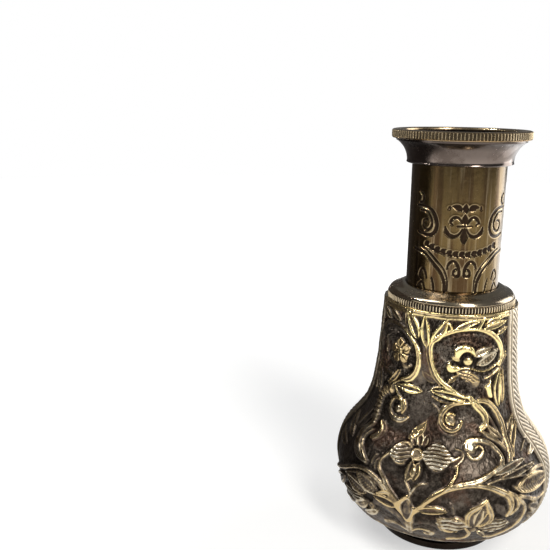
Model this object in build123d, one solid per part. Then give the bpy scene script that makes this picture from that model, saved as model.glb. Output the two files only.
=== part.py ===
"""Brass kaleidoscope: a cast bulb with a turning object cell in its foot, a fixed three-mirror
tube, and an engraved draw tube that carries a flared eyepiece. Millimetres, +Z up, with the
origin at the centre of the foot's underside. The draw tube stands pulled out."""

import os
from math import cos, pi, radians, sin, sqrt

from build123d import *

# ---- driving dimensions ----
total_height = 138.0
foot_radius = 20.4
tube_radius = 15.0
tube_wall = 0.8
draw_travel = 39.0
rim_radius = 22.0
collar_radius = 20.85

# ---- running and assembly clearances ----
running_gap = 0.06
slip_gap = 0.05
face_gap = 0.3

# ---- heights along the axis ----
shell_bottom = 3.0
shell_floor_top = 6.4
shell_top = 82.4
collar_top = 87.8
bell_bottom = collar_top + draw_travel + 0.5
rim_height = 2.9
rim_bottom = total_height - rim_height
tube_bottom = 70.0
tube_top = bell_bottom + 2.0

# ---- bulb: outline points (radius, height) of the cast wall, outside and inside ----
bulb_outside = [
    (21.4, shell_bottom),
    (25.8, 5.8),
    (30.6, 9.4),
    (34.4, 15.0),
    (36.2, 24.0),
    (33.6, 34.3),
    (27.2, 43.2),
    (24.0, 52.5),
    (22.4, 66.0),
    (21.4, shell_top),
]
bulb_inside = [
    (23.8, shell_floor_top),
    (28.4, 10.6),
    (32.0, 16.0),
    (33.8, 24.0),
    (31.2, 33.3),
    (24.8, 42.5),
    (21.7, 52.5),
    (20.2, 65.0),
]
neck_bore_radius = 18.3
neck_bore_bottom = 69.0

# ---- mirror mount inside the bulb ----
boss_count = 3
boss_circle = 23.4
boss_radius = 1.9
boss_top = 10.2
screw_radius = 0.95
screw_head_radius = 1.8
screw_head_height = 1.3
screw_depth = 4.0
flange_radius = 26.0
flange_thickness = 2.0
socket_wall = 1.4
socket_height = 5.0

# ---- mirror tube ----
mirror_tube_radius = 13.0
mirror_tube_wall = 0.8
mirror_tube_bottom = 11.0
mirror_tube_top = 81.0
mirror_count = 3
mirror_thickness = 1.5
mirror_inradius = 5.6
mask_thickness = 0.6

# ---- object cell ----
cell_bore_radius = 19.3
cell_wall = 1.6
cell_top = 9.5
glass_radius = 17.5
bezel_lip_radius = 16.4
bezel_lip_height = 1.0
frosted_thickness = 1.8
chamber_height = 3.6
clear_thickness = 1.5
spacer_wall = 1.3
cell_ring_height = 1.2

# ---- draw tube fittings ----
guide_radius = 16.6
guide_lip_height = 1.2
retainer_height = 1.7
stop_ring_radius = 16.2
stop_ring_height = 1.0
groove_depth = 0.3
lens_radius = 12.9
lens_edge = 1.0
lens_crown = 1.2
eye_hole_radius = 5.0

# ---- knurls ----
collar_teeth = 130
rim_teeth = 124
knurl_depth = 0.35


def turned(*outline):
    """A solid turned about Z from a closed outline of (radius, height) points."""
    return revolve(make_face(Plane.XZ * Polyline(*outline, close=True)), Axis.Z)


def turned_edges(*edges):
    """A solid turned about Z from edges drawn in (radius, height) that close a face."""
    return revolve(make_face([Plane.XZ * edge for edge in edges]), Axis.Z)


def ring(inner, outer, bottom, top):
    """A plain ring, or a disc where inner is 0."""
    return turned((inner, bottom), (outer, bottom), (outer, top), (inner, top))


def around(count, radius, height, start=0.0):
    """Places evenly spaced round the axis at one radius and height."""
    for i in range(count):
        angle = start + 360.0 * i / count
        yield Rot(0, 0, angle) * Pos(radius, 0, height)


def knurled_band(tip, teeth, bottom, top):
    """A solid disc whose edge has straight V teeth, tip being the radius over the teeth."""
    points = []
    for i in range(2 * teeth):
        reach = tip if i % 2 else tip - knurl_depth
        angle = pi * i / teeth
        points.append((reach * cos(angle), reach * sin(angle)))
    outline = make_face(Polyline(*points, close=True))
    return Pos(0, 0, bottom) * extrude(outline, top - bottom)


# ---- bulb ----
def make_body_shell():
    """The cast bulb: a thick floor with the cell's bore, a swelling wall and a straight neck."""
    outside = Spline(*bulb_outside)
    inside = Spline(*bulb_inside)
    wall = turned_edges(
        outside,
        Line((bulb_outside[-1][0], shell_top), (neck_bore_radius, shell_top)),
        Line((neck_bore_radius, shell_top), (neck_bore_radius, neck_bore_bottom)),
        Line((neck_bore_radius, neck_bore_bottom), bulb_inside[-1]),
        inside,
        Line((bulb_inside[0][0], shell_floor_top), (cell_bore_radius, shell_floor_top)),
        Line((cell_bore_radius, shell_floor_top), (cell_bore_radius, shell_bottom)),
        Line((cell_bore_radius, shell_bottom), bulb_outside[0]),
    )
    boss_foot = shell_floor_top - 0.3
    for place in around(boss_count, boss_circle, boss_foot):
        wall += place * extrude(Circle(boss_radius), boss_top - boss_foot)
    for place in around(boss_count, boss_circle, boss_top - screw_depth):
        wall -= place * extrude(Circle(screw_radius + slip_gap), screw_depth + 1)
    return wall


def make_neck_collar():
    """The knurled collar: a domed top, a lip that closes on the draw tube and a threaded spigot."""
    spigot_radius = neck_bore_radius - slip_gap
    spigot_bottom = shell_top - 10.4
    knurl_top = shell_top + 2.2
    lip_bottom = collar_top - guide_lip_height
    crown_edge = (collar_radius - 0.35, knurl_top + 0.2)
    crown_top = (tube_radius + 0.9, collar_top)
    lip_radius = tube_radius + 0.15
    body = turned_edges(
        Line((guide_radius, spigot_bottom), (spigot_radius, spigot_bottom)),
        Line((spigot_radius, spigot_bottom), (spigot_radius, shell_top)),
        Line((spigot_radius, shell_top), (crown_edge[0], shell_top)),
        Line((crown_edge[0], shell_top), crown_edge),
        ThreePointArc(crown_edge, (18.4, collar_top - 1.25), crown_top),
        Line(crown_top, (lip_radius, collar_top)),
        Line((lip_radius, collar_top), (lip_radius, lip_bottom)),
        Line((lip_radius, lip_bottom), (guide_radius, lip_bottom)),
        Line((guide_radius, lip_bottom), (guide_radius, spigot_bottom)),
    )
    band = knurled_band(collar_radius, collar_teeth, shell_top, knurl_top)
    band -= ring(0, spigot_radius - 0.5, shell_top - 1, knurl_top + 1)
    return body + band


def make_guide_sleeve():
    """The felt lining in the collar that the draw tube slides and turns in."""
    bottom = shell_top - 10.4 + retainer_height
    return ring(tube_radius + running_gap, guide_radius, bottom, collar_top - guide_lip_height)


def make_sleeve_retainer():
    """The ring under the felt, which also stops the draw tube from pulling out."""
    bottom = shell_top - 10.4
    return ring(tube_radius + 0.2, guide_radius, bottom, bottom + retainer_height)


# ---- mirrors ----
def make_mirror_flange():
    """The plate on the bulb's bosses with a socket that holds the mirror tube upright."""
    top = boss_top + flange_thickness
    socket_inner = mirror_tube_radius + slip_gap
    socket_outer = socket_inner + socket_wall
    seat_hole = mirror_tube_radius - mirror_tube_wall - 0.2
    plate = turned(
        (seat_hole, boss_top),
        (flange_radius, boss_top),
        (flange_radius, top),
        (socket_outer, top),
        (socket_outer, top + socket_height),
        (socket_inner, top + socket_height),
        (socket_inner, mirror_tube_bottom),
        (seat_hole, mirror_tube_bottom),
    )
    for place in around(boss_count, boss_circle, boss_top - 1):
        plate -= place * extrude(Circle(screw_radius + slip_gap), flange_thickness + 2)
    return plate


def make_flange_screws():
    """Slotted pan-head screws, one into each boss."""
    head_bottom = boss_top + flange_thickness
    screws = []
    for place in around(boss_count, boss_circle, 0):
        shank_bottom = boss_top - screw_depth + 0.3
        shank = Pos(0, 0, shank_bottom) * extrude(Circle(screw_radius), head_bottom - shank_bottom)
        head = Pos(0, 0, head_bottom) * extrude(Circle(screw_head_radius), screw_head_height)
        slot = Pos(0, 0, head_bottom + screw_head_height) * Box(5, 0.5, 1.2)
        screws.append(place * (shank + head - slot))
    return Compound(children=screws)


def make_mirror_tube():
    """The tube that keeps the three mirrors together."""
    inner = mirror_tube_radius - mirror_tube_wall
    return ring(inner, mirror_tube_radius, mirror_tube_bottom, mirror_tube_top)


def make_mirror(index):
    """One glass strip of the prism, silvered on its inner face."""
    side = 2 * sqrt(3) * mirror_inradius
    bottom = mirror_tube_bottom + mask_thickness
    length = mirror_tube_top - mask_thickness - bottom
    strip = Pos(mirror_inradius + mirror_thickness / 2, 0, bottom + length / 2) * Box(
        mirror_thickness, side - 0.2, length
    )
    return Rot(0, 0, 90 + 360 * index / mirror_count) * strip


def make_mirror_packing():
    """Foam strips between the backs of the mirrors and the tube."""
    radius = mirror_tube_radius - mirror_tube_wall - slip_gap
    back = mirror_inradius + mirror_thickness + slip_gap
    bottom = mirror_tube_bottom + 4
    height = mirror_tube_top - 4 - bottom
    strips = []
    for i in range(mirror_count):
        segment = Pos(0, 0, bottom) * extrude(Circle(radius), height)
        segment &= Pos(back + radius, 0, bottom + height / 2) * Box(
            2 * radius, 2 * radius, height + 2
        )
        strips.append(Rot(0, 0, 90 + 360 * i / mirror_count) * segment)
    return Compound(children=strips)


def make_mask(bottom):
    """A card disc with a triangular window, which hides the mirrors' edges."""
    radius = mirror_tube_radius - mirror_tube_wall - slip_gap
    disc = Pos(0, 0, bottom) * extrude(Circle(radius), mask_thickness)
    window = RegularPolygon(radius=2 * (mirror_inradius - 0.3), side_count=3, rotation=-90)
    return disc - Pos(0, 0, bottom - 1) * extrude(window, mask_thickness + 2)


# ---- object cell ----
def make_cell_bezel():
    """The foot of the kaleidoscope: a flange to turn by, and a cup for the two glasses."""
    outer = cell_bore_radius - running_gap
    inner = outer - cell_wall
    flange_top = shell_bottom - face_gap
    edge = 0.5
    return turned(
        (bezel_lip_radius, 0),
        (foot_radius - edge, 0),
        (foot_radius, edge),
        (foot_radius, flange_top),
        (outer, flange_top),
        (outer, cell_top),
        (inner, cell_top),
        (inner, bezel_lip_height),
        (bezel_lip_radius, bezel_lip_height),
    )


def make_cell_lock_ring():
    """The ring above the bulb's floor that holds the turning cell in its bore."""
    inner = cell_bore_radius - running_gap
    bottom = shell_floor_top + face_gap
    return ring(inner, inner + 1.8, bottom, bottom + 1.6)


frosted_top = bezel_lip_height + frosted_thickness
chamber_top = frosted_top + chamber_height


def make_frosted_glass():
    """The diffuser that lets daylight into the cell."""
    return ring(0, glass_radius, bezel_lip_height, frosted_top)


def make_cell_spacer():
    """The ring that keeps the glasses apart and makes the chamber."""
    return ring(glass_radius - spacer_wall, glass_radius, frosted_top, chamber_top)


def make_clear_glass():
    """The chamber's upper window, just under the mirrors."""
    return ring(0, glass_radius, chamber_top, chamber_top + clear_thickness)


def make_cell_retaining_ring():
    """The slotted ring that clamps the glasses into the cell."""
    bottom = chamber_top + clear_thickness
    body = ring(glass_radius - 1.6, glass_radius, bottom, bottom + cell_ring_height)
    for place in around(2, glass_radius - 1.0, bottom + cell_ring_height):
        body -= place * Box(3, 1.2, 1.0)
    return body


# ---- loose pieces in the chamber ----
chamber_floor = frosted_top + face_gap
outer_circle = 12.6
middle_circle = 8.8
inner_circle = 4.6


def make_glass_beads():
    """Round beads, five on the outer circle and three on the inner one."""
    beads = []
    for radius, count, circle, start in ((1.5, 5, outer_circle, 10), (1.2, 3, inner_circle, 30)):
        for place in around(count, circle, chamber_floor + radius, start):
            beads.append(place * Sphere(radius))
    return Compound(children=beads)


def make_glass_chips():
    """Flat three-cornered chips between the beads."""
    chips = []
    for size, count, circle, start in ((1.9, 5, outer_circle, 46), (1.5, 3, inner_circle, 90)):
        for i, place in enumerate(around(count, circle, chamber_floor, start)):
            outline = RegularPolygon(radius=size, side_count=3, rotation=37 * i)
            chips.append(place * extrude(outline, 1.1))
    return Compound(children=chips)


def make_glass_rods():
    """Short glass rods, three on the middle circle and one at the centre."""
    radius = 0.6
    rods = []
    for length, count, circle, start in ((5.0, 3, middle_circle, 64), (4.0, 1, 0.0, 0)):
        for place in around(count, circle, chamber_floor + radius, start):
            rods.append(place * (Rot(90, 0, 0) * Cylinder(radius, length)))
    return Compound(children=rods)


def make_star_sequins():
    """Thin six-pointed stars between the rods."""
    stars = []
    for place in around(3, middle_circle, chamber_floor, 4):
        points = []
        for k in range(12):
            reach = 1.5 if k % 2 else 0.8
            points.append((reach * cos(radians(30 * k)), reach * sin(radians(30 * k))))
        stars.append(place * extrude(make_face(Polyline(*points, close=True)), 0.3))
    return Compound(children=stars)


# ---- draw tube ----
def make_draw_tube():
    """The sliding tube, with a groove for its stop ring near the lower end."""
    inner = tube_radius - tube_wall
    groove = tube_radius - groove_depth - running_gap
    groove_bottom = tube_bottom + 0.5
    groove_top = groove_bottom + stop_ring_height + 2 * running_gap
    return turned(
        (inner, tube_bottom),
        (tube_radius, tube_bottom),
        (tube_radius, groove_bottom),
        (groove, groove_bottom),
        (groove, groove_top),
        (tube_radius, groove_top),
        (tube_radius, tube_top),
        (inner, tube_top),
    )


def make_stop_ring():
    """The split spring ring in the tube's groove."""
    bottom = tube_bottom + 0.5 + running_gap
    body = ring(tube_radius - groove_depth, stop_ring_radius, bottom, bottom + stop_ring_height)
    return body - Pos(0, tube_radius, bottom) * Box(2.0, 6.0, 4.0)


def make_eyepiece_bell():
    """The flared eyepiece: a cove outside, a shallow cup inside, and a spigot in the tube."""
    skirt = 16.8
    cove_radius = 7.5
    cove_centre = (skirt + cove_radius, bell_bottom + 0.7)
    lip_radius = 20.56
    cove_mid_angle = radians(150)
    cove_mid = (
        cove_centre[0] + cove_radius * cos(cove_mid_angle),
        cove_centre[1] + cove_radius * sin(cove_mid_angle),
    )
    lip_rise = sqrt(cove_radius**2 - (cove_centre[0] - lip_radius) ** 2)
    cove_end = (lip_radius, cove_centre[1] + lip_rise)
    spigot_outer = tube_radius - tube_wall - slip_gap
    spigot_bottom = tube_top - 7.0
    seat = tube_top + 0.3
    neck_outer = 19.0
    neck_inner = 18.3
    neck_top = rim_bottom + 2.0
    cup_foot = (lens_radius + 0.1, seat + 2.6)
    cup_rim = (neck_inner, rim_bottom - 0.4)
    outline = [
        Line((tube_radius, bell_bottom), (skirt, bell_bottom)),
        Line((skirt, bell_bottom), (skirt, cove_centre[1])),
        ThreePointArc((skirt, cove_centre[1]), cove_mid, cove_end),
        Line(cove_end, (lip_radius, rim_bottom)),
        Line((lip_radius, rim_bottom), (neck_outer, rim_bottom)),
        Line((neck_outer, rim_bottom), (neck_outer, neck_top)),
        Line((neck_outer, neck_top), (neck_inner, neck_top)),
        Line((neck_inner, neck_top), cup_rim),
        ThreePointArc(cup_rim, (16.4, seat + 3.35), cup_foot),
        Line(cup_foot, (cup_foot[0], seat)),
        Line((cup_foot[0], seat), (11.6, seat)),
        Line((11.6, seat), (11.6, seat - 0.6)),
        Line((11.6, seat - 0.6), (13.0, spigot_bottom + 5.0)),
        Line((13.0, spigot_bottom + 5.0), (13.0, spigot_bottom)),
        Line((13.0, spigot_bottom), (spigot_outer, spigot_bottom)),
        Line((spigot_outer, spigot_bottom), (spigot_outer, tube_top)),
        Line((spigot_outer, tube_top), (tube_radius, tube_top)),
        Line((tube_radius, tube_top), (tube_radius, bell_bottom)),
    ]
    return turned_edges(*outline)


def make_eyepiece_rim():
    """The knurled ring screwed on the bell's neck, on which the eye rests."""
    neck = 19.0 + slip_gap
    hole = 18.4
    lip_bottom = rim_bottom + 2.0 + slip_gap
    land = 0.3
    bevel = 0.4
    band = knurled_band(rim_radius, rim_teeth, rim_bottom + land, total_height - bevel)
    core_radius = rim_radius - knurl_depth
    core = turned(
        (0, rim_bottom),
        (core_radius - 0.1, rim_bottom),
        (core_radius, rim_bottom + land),
        (core_radius, total_height - bevel),
        (core_radius - bevel, total_height),
        (0, total_height),
    )
    hollow = turned(
        (0, rim_bottom - 1),
        (neck, rim_bottom - 1),
        (neck, lip_bottom),
        (hole, lip_bottom),
        (hole, total_height - 0.4),
        (hole + 0.6, total_height + 0.2),
        (0, total_height + 0.2),
    )
    return band + core - hollow


def make_eye_stop():
    """The black disc under the lens with the peep-hole."""
    seat = tube_top + 0.3
    return ring(eye_hole_radius, lens_radius, seat, seat + 0.4)


def make_eye_lens():
    """The plano-convex lens."""
    flat = tube_top + 0.7
    edge = flat + lens_edge
    crown_edge = lens_radius - 1.0
    crown_radius = (crown_edge**2 + lens_crown**2) / (2 * lens_crown)
    crown = Pos(0, 0, edge + lens_crown - crown_radius) * Sphere(crown_radius)
    crown &= ring(0, crown_edge, edge - 0.3, edge + 2 * lens_crown)
    return ring(0, lens_radius, flat, edge) + crown


def make_lens_retainer():
    """The thin ring over the lens's edge."""
    bottom = tube_top + 0.7 + lens_edge
    return ring(lens_radius - 0.9, lens_radius, bottom, bottom + 0.9)


def main():
    upper_mask_bottom = mirror_tube_top - mask_thickness
    parts = {
        "body_shell": make_body_shell(),
        "neck_collar": make_neck_collar(),
        "guide_sleeve": make_guide_sleeve(),
        "sleeve_retainer": make_sleeve_retainer(),
        "mirror_flange": make_mirror_flange(),
        "flange_screws": make_flange_screws(),
        "mirror_tube": make_mirror_tube(),
        "mirror_packing": make_mirror_packing(),
        "mirror_mask_lower": make_mask(mirror_tube_bottom),
        "mirror_mask_upper": make_mask(upper_mask_bottom),
        "cell_bezel": make_cell_bezel(),
        "cell_lock_ring": make_cell_lock_ring(),
        "frosted_glass": make_frosted_glass(),
        "cell_spacer": make_cell_spacer(),
        "clear_glass": make_clear_glass(),
        "cell_retaining_ring": make_cell_retaining_ring(),
        "glass_beads": make_glass_beads(),
        "glass_chips": make_glass_chips(),
        "glass_rods": make_glass_rods(),
        "star_sequins": make_star_sequins(),
        "draw_tube": make_draw_tube(),
        "stop_ring": make_stop_ring(),
        "eyepiece_bell": make_eyepiece_bell(),
        "eyepiece_rim": make_eyepiece_rim(),
        "eye_stop": make_eye_stop(),
        "eye_lens": make_eye_lens(),
        "lens_retainer": make_lens_retainer(),
    }
    for i in range(mirror_count):
        parts[f"mirror_{i + 1}"] = make_mirror(i)

    os.makedirs("parts", exist_ok=True)
    for name, shape in parts.items():
        export_step(shape, f"parts/{name}.step")


main()
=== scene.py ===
"""Visual model of a brass kaleidoscope: chased bulb, engraved draw tube, flared eyepiece, turning
object cell. Drawing helpers work in millimetres and degrees, and meshes are written in metres."""

from math import cos, pi, radians, sin, sqrt

import bpy
import numpy as np
from mathutils import Matrix, Vector


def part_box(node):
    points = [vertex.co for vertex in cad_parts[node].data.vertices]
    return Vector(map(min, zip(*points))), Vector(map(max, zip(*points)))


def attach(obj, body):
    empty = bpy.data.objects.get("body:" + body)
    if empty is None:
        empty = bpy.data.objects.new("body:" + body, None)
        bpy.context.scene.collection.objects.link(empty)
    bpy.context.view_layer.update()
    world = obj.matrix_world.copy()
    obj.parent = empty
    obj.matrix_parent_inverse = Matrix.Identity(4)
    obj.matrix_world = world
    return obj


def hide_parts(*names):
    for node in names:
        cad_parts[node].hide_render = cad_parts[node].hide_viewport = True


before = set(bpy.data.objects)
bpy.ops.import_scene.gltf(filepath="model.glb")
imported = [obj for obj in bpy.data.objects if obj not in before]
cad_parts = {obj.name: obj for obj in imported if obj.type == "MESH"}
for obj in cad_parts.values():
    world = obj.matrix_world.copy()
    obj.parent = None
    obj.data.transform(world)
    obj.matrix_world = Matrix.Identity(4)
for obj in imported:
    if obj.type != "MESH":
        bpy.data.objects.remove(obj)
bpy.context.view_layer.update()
MM = 0.001


def top_of(node):
    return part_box(node)[1].z / MM


def bottom_of(node):
    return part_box(node)[0].z / MM


# ---- curves and fields ----
def spline(points, spacing):
    """Evenly spaced points on the smooth curve through points."""
    p = np.array(points, float)
    t = np.concatenate([[0], np.cumsum(np.hypot(*np.diff(p, axis=0).T))])
    n = len(p)
    h = np.diff(t)
    system = np.eye(n)
    target = np.zeros((n, 2))
    for i in range(1, n - 1):
        system[i, i - 1 : i + 2] = h[i - 1], 2 * (h[i - 1] + h[i]), h[i]
        target[i] = 6 * ((p[i + 1] - p[i]) / h[i] - (p[i] - p[i - 1]) / h[i - 1])
    bend = np.linalg.solve(system, target)
    u = np.linspace(0, t[-1], max(40, 24 * n))
    i = np.clip(np.searchsorted(t, u, side="right") - 1, 0, n - 2)
    a = ((t[i + 1] - u) / h[i])[:, None]
    b = 1 - a
    curve = a * p[i] + b * p[i + 1]
    curve += ((a**3 - a) * bend[i] + (b**3 - b) * bend[i + 1]) * h[i][:, None] ** 2 / 6
    run = np.concatenate([[0], np.cumsum(np.hypot(*np.diff(curve, axis=0).T))])
    even = np.linspace(0, run[-1], int(np.ceil(run[-1] / spacing)) + 1)
    return np.stack([np.interp(even, run, curve[:, 0]), np.interp(even, run, curve[:, 1])], 1)


def smooth(x, low, high):
    """0 below low, 1 above high and an even ease between them."""
    t = np.clip((x - low) / (high - low), 0, 1)
    return t * t * (3 - 2 * t)


def filtered(field, keep):
    """field with its spectrum multiplied by keep(cycles per cell)."""
    fy = np.fft.fftfreq(field.shape[0])[:, None]
    fx = np.fft.rfftfreq(field.shape[1])[None, :]
    return np.fft.irfft2(np.fft.rfft2(field) * keep(np.hypot(fx, fy)), s=field.shape)


def blurred(field, cells):
    return filtered(field, lambda f: np.exp(-2 * (pi * cells * f) ** 2))


def grain(shape, cells, seed):
    """Even-sized random bumps about cells apart, from -1 to 1."""
    noise = np.random.default_rng(seed).standard_normal(shape)
    bumps = filtered(noise, lambda f: np.exp(-(((f * cells - 1) / 0.35) ** 2)))
    return np.tanh(bumps / bumps.std())


class Relief:
    """Raised work on a turned wall, drawn in degrees round it and millimetres up it."""

    def __init__(self, degrees, heights, radii, centre=0.0, stretch=1.0, axis=0.0):
        self.x = degrees
        self.y = heights
        self.k = np.radians(radii)
        self.centre = centre
        self.stretch = stretch
        self.axis = axis
        self.h = np.zeros((len(heights), len(degrees)))
        self.gilt = np.zeros(self.h.shape)
        self.bare = np.zeros(self.h.shape)

    def place(self, points):
        p = np.array(points, float)
        p[:, 0] = self.centre + self.stretch * (p[:, 0] - self.axis)
        return p

    def curve(self, points):
        p = self.place(points)
        scale = np.array([np.interp(p[:, 1].mean(), self.y, self.k), 1.0])
        return spline(p * scale, 0.4) / scale

    def trace(self, path, reach):
        """The window round a path, with each point's distance, side and place along the path."""
        k = np.interp(path[:, 1], self.y, self.k)
        lows = path - np.stack([reach / k, np.full(len(path), reach)], 1)
        highs = 2 * path - lows
        i0, i1 = np.searchsorted(self.y, (lows[:, 1].min(), highs[:, 1].max()))
        j0, j1 = np.searchsorted(self.x, (lows[:, 0].min(), highs[:, 0].max()))
        shape = (i1 - i0, j1 - j0)
        best = np.full(shape, 1e6)
        side = np.zeros(shape)
        along = np.zeros(shape)
        steps = np.hypot(np.diff(path[:, 0]) * k[:-1], np.diff(path[:, 1]))
        run = np.concatenate([[0], np.cumsum(steps)]) / max(steps.sum(), 1e-9)
        for n in range(len(path) - 1):
            a, b = path[n], path[n + 1]
            low = np.minimum(lows[n], lows[n + 1])
            high = np.maximum(highs[n], highs[n + 1])
            i = slice(*(np.searchsorted(self.y[i0:i1], (low[1], high[1]))))
            j = slice(*(np.searchsorted(self.x[j0:j1], (low[0], high[0]))))
            rows = self.k[i0:i1][i][:, None]
            vx = (b[0] - a[0]) * rows
            vy = b[1] - a[1]
            px = (self.x[j0:j1][j][None, :] - a[0]) * rows
            py = self.y[i0:i1][i][:, None] - a[1]
            q = np.clip((px * vx + py * vy) / (vx * vx + vy * vy + 1e-9), 0, 1)
            d = np.hypot(px - q * vx, py - q * vy)
            near = d < best[i, j]
            best[i, j] = np.where(near, d, best[i, j])
            side[i, j] = np.where(near, np.sign(vx * py - vy * px), side[i, j])
            along[i, j] = np.where(near, run[n] + (run[n + 1] - run[n]) * q, along[i, j])
        return (slice(i0, i1), slice(j0, j1)), best, side, along

    def raise_to(self, where, height, gilt=0.5):
        shown = height > self.h[where]
        self.h[where] = np.maximum(self.h[where], height)
        self.gilt[where] = np.where(shown, gilt * smooth(height, 0.15, 0.6), self.gilt[where])

    def rib(self, points, width=0.45, height=0.8, gilt=0.5):
        """A rounded raised line. width is a number, or several from its start to its end."""
        path = self.curve(points)
        width = np.atleast_1d(np.array(width, float)) * (1.5 - 0.3 * smooth(path[:, 1].mean(), 44, 60))
        where, d, _, along = self.trace(path, width.max())
        w = np.interp(along, np.linspace(0, 1, len(width)), width)
        round_top = np.clip(1 - (d / w) ** 2, 0, 1) ** 0.8
        channel = smooth(w, 0.6, 0.85) * np.exp(-((d / (0.3 * w)) ** 2))
        self.raise_to(where, height * (round_top - 0.32 * channel), gilt * (1 - 0.6 * channel))

    def ribbed(self, points, width=0.8, height=0.8, pitch=0.9, gilt=0.4):
        """A rounded line cut across by fine grooves."""
        path = self.curve(points)
        where, d, _, along = self.trace(path, width)
        k = np.interp(path[:, 1], self.y, self.k)
        length = np.hypot(np.diff(path[:, 0]) * k[:-1], np.diff(path[:, 1])).sum()
        cuts = 0.72 + 0.28 * np.cos(2 * pi * along * length / pitch)
        self.raise_to(where, height * cuts * np.sqrt(np.clip(1 - (d / width) ** 2, 0, 1)), gilt)

    def leaf(self, base, tip, width, bend=0.0, veins=0.0, hatch=0.0, height=0.85, belly=0.42, core=0.2,
             rib=0.45, gilt=0.5):
        """A pointed leaf with a raised rim and midrib. bend bows it to its left, in millimetres."""
        p = self.place([base, tip])
        k = np.interp(p[:, 1].mean(), self.y, self.k)
        a, b = p * [k, 1.0]
        bow = bend * np.sign(self.stretch)
        mid = (a + b) / 2 + bow * np.array([-(b - a)[1], (b - a)[0]]) / np.hypot(*(b - a))
        path = spline([a, mid, b], 0.5) / [k, 1.0]
        where, d, side, along = self.trace(path, width + 0.2)
        fullness = along ** (np.log(0.5) / np.log(belly))
        w = width * np.sin(pi * np.clip(fullness, 0.02, 0.98)) ** 0.75
        rim = 1 - min(0.5, 0.85 / width)
        u = d / np.maximum(w, 0.05)
        edge = smooth(u, rim - 0.35, rim + 0.06)
        body = core + (1 - core) * edge
        body += (1 - core) * rib * np.exp(-((d / 0.28) ** 2)) * (1 - edge)
        length = np.hypot(*(b - a))
        if veins:
            body += 0.2 * np.cos(2 * pi * (along * length - 0.9 * d) / veins) * (1 - edge)
        if hatch:
            wave = np.cos(2 * pi * side * d / hatch + 0.9 * np.sin(along * length * 1.1))
            body = 1.0 - 0.6 * smooth(-wave, 0.0, 0.9)
        self.raise_to(where, height * body * (1 - smooth(u, 0.88, 1.06)), gilt)

    def plate(self, points, height=0.7, edge=0.35, gilt=0.5):
        """A flat-topped raised patch inside a smooth closed outline."""
        path = self.curve(list(points) + [points[0]])
        where, d, _, _ = self.trace(path, 6.0)
        x = self.x[where[1]][None, :]
        y = self.y[where[0]][:, None]
        inside = np.zeros(d.shape, bool)
        for (ax, ay), (bx, by) in zip(path[:-1], path[1:]):
            crossed = (ay > y) != (by > y)
            inside ^= crossed & (x < ax + (y - ay) * (bx - ax) / (by - ay + 1e-12))
        self.raise_to(where, np.where(inside, height * (0.35 + 0.65 * smooth(d, 0, edge)), 0), gilt)

    def hollow(self, points, height=0.15, edge=0.5):
        """Sinks what lies inside a smooth closed outline to a height."""
        above = self.h.copy()
        self.h[:] = 0
        self.plate(points, 1.0, edge, 0.0)
        sunk = np.clip((self.h - 0.35) / 0.65, 0, 1)
        self.h = above * (1 - sunk) + np.minimum(above, height) * sunk

    def knob(self, centre, radius, height=0.9, dimple=0.0, gilt=0.5):
        """A domed button, hollowed in the middle if it has a dimple."""
        path = self.place([centre, (centre[0] + 0.05, centre[1])])
        where, d, _, _ = self.trace(path, radius + 0.1)
        dome = np.sqrt(np.clip(1 - (d / radius) ** 2, 0, 1)) ** 0.8
        self.raise_to(where, height * dome - dimple * np.exp(-((d / (0.45 * radius)) ** 2)), gilt)

    def oval(self, centre, across, up, width=0.9, height=0.85, start=0.0, sweep=360.0, gilt=0.5):
        """A raised oval rim. across and up are its half sizes in degrees and millimetres."""
        turn = np.radians(np.linspace(start, start + sweep, 25))
        ring = np.stack([centre[0] + across * np.cos(turn), centre[1] + up * np.sin(turn)], 1)
        self.rib(ring, width, height, gilt)

    def feathers(self, middle, half_width, pitch=1.9, down=0.8):
        """An upright band cut with feathered strokes. middle is on the grid."""
        x = np.abs(self.x[None, :] - middle) * self.k[:, None]
        y = self.y[:, None]
        stroke = np.exp(-((np.abs((y - down * x) / pitch % 1 - 0.5) * pitch / 0.3) ** 2))
        vein = np.exp(-((x / 0.25) ** 2))
        gap = smooth(x, half_width - 1.9, half_width - 1.6) * (1 - smooth(x, half_width - 1.3,
                                                                          half_width - 1.0))
        lines = stroke * smooth(x, 0.4, 0.7) * (1 - smooth(x, half_width - 2.6, half_width - 2.2))
        body = 0.75 - 0.65 * np.maximum(np.maximum(lines, vein), gap)
        inside = 1 - smooth(x, half_width - 0.3, half_width + 0.2)
        self.h = np.maximum(self.h * (1 - inside), body * inside)
        self.gilt = self.gilt * (1 - inside)
        self.bare = np.maximum(self.bare, inside * np.clip((body - 0.1) / 0.65, 0, 1))


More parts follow.
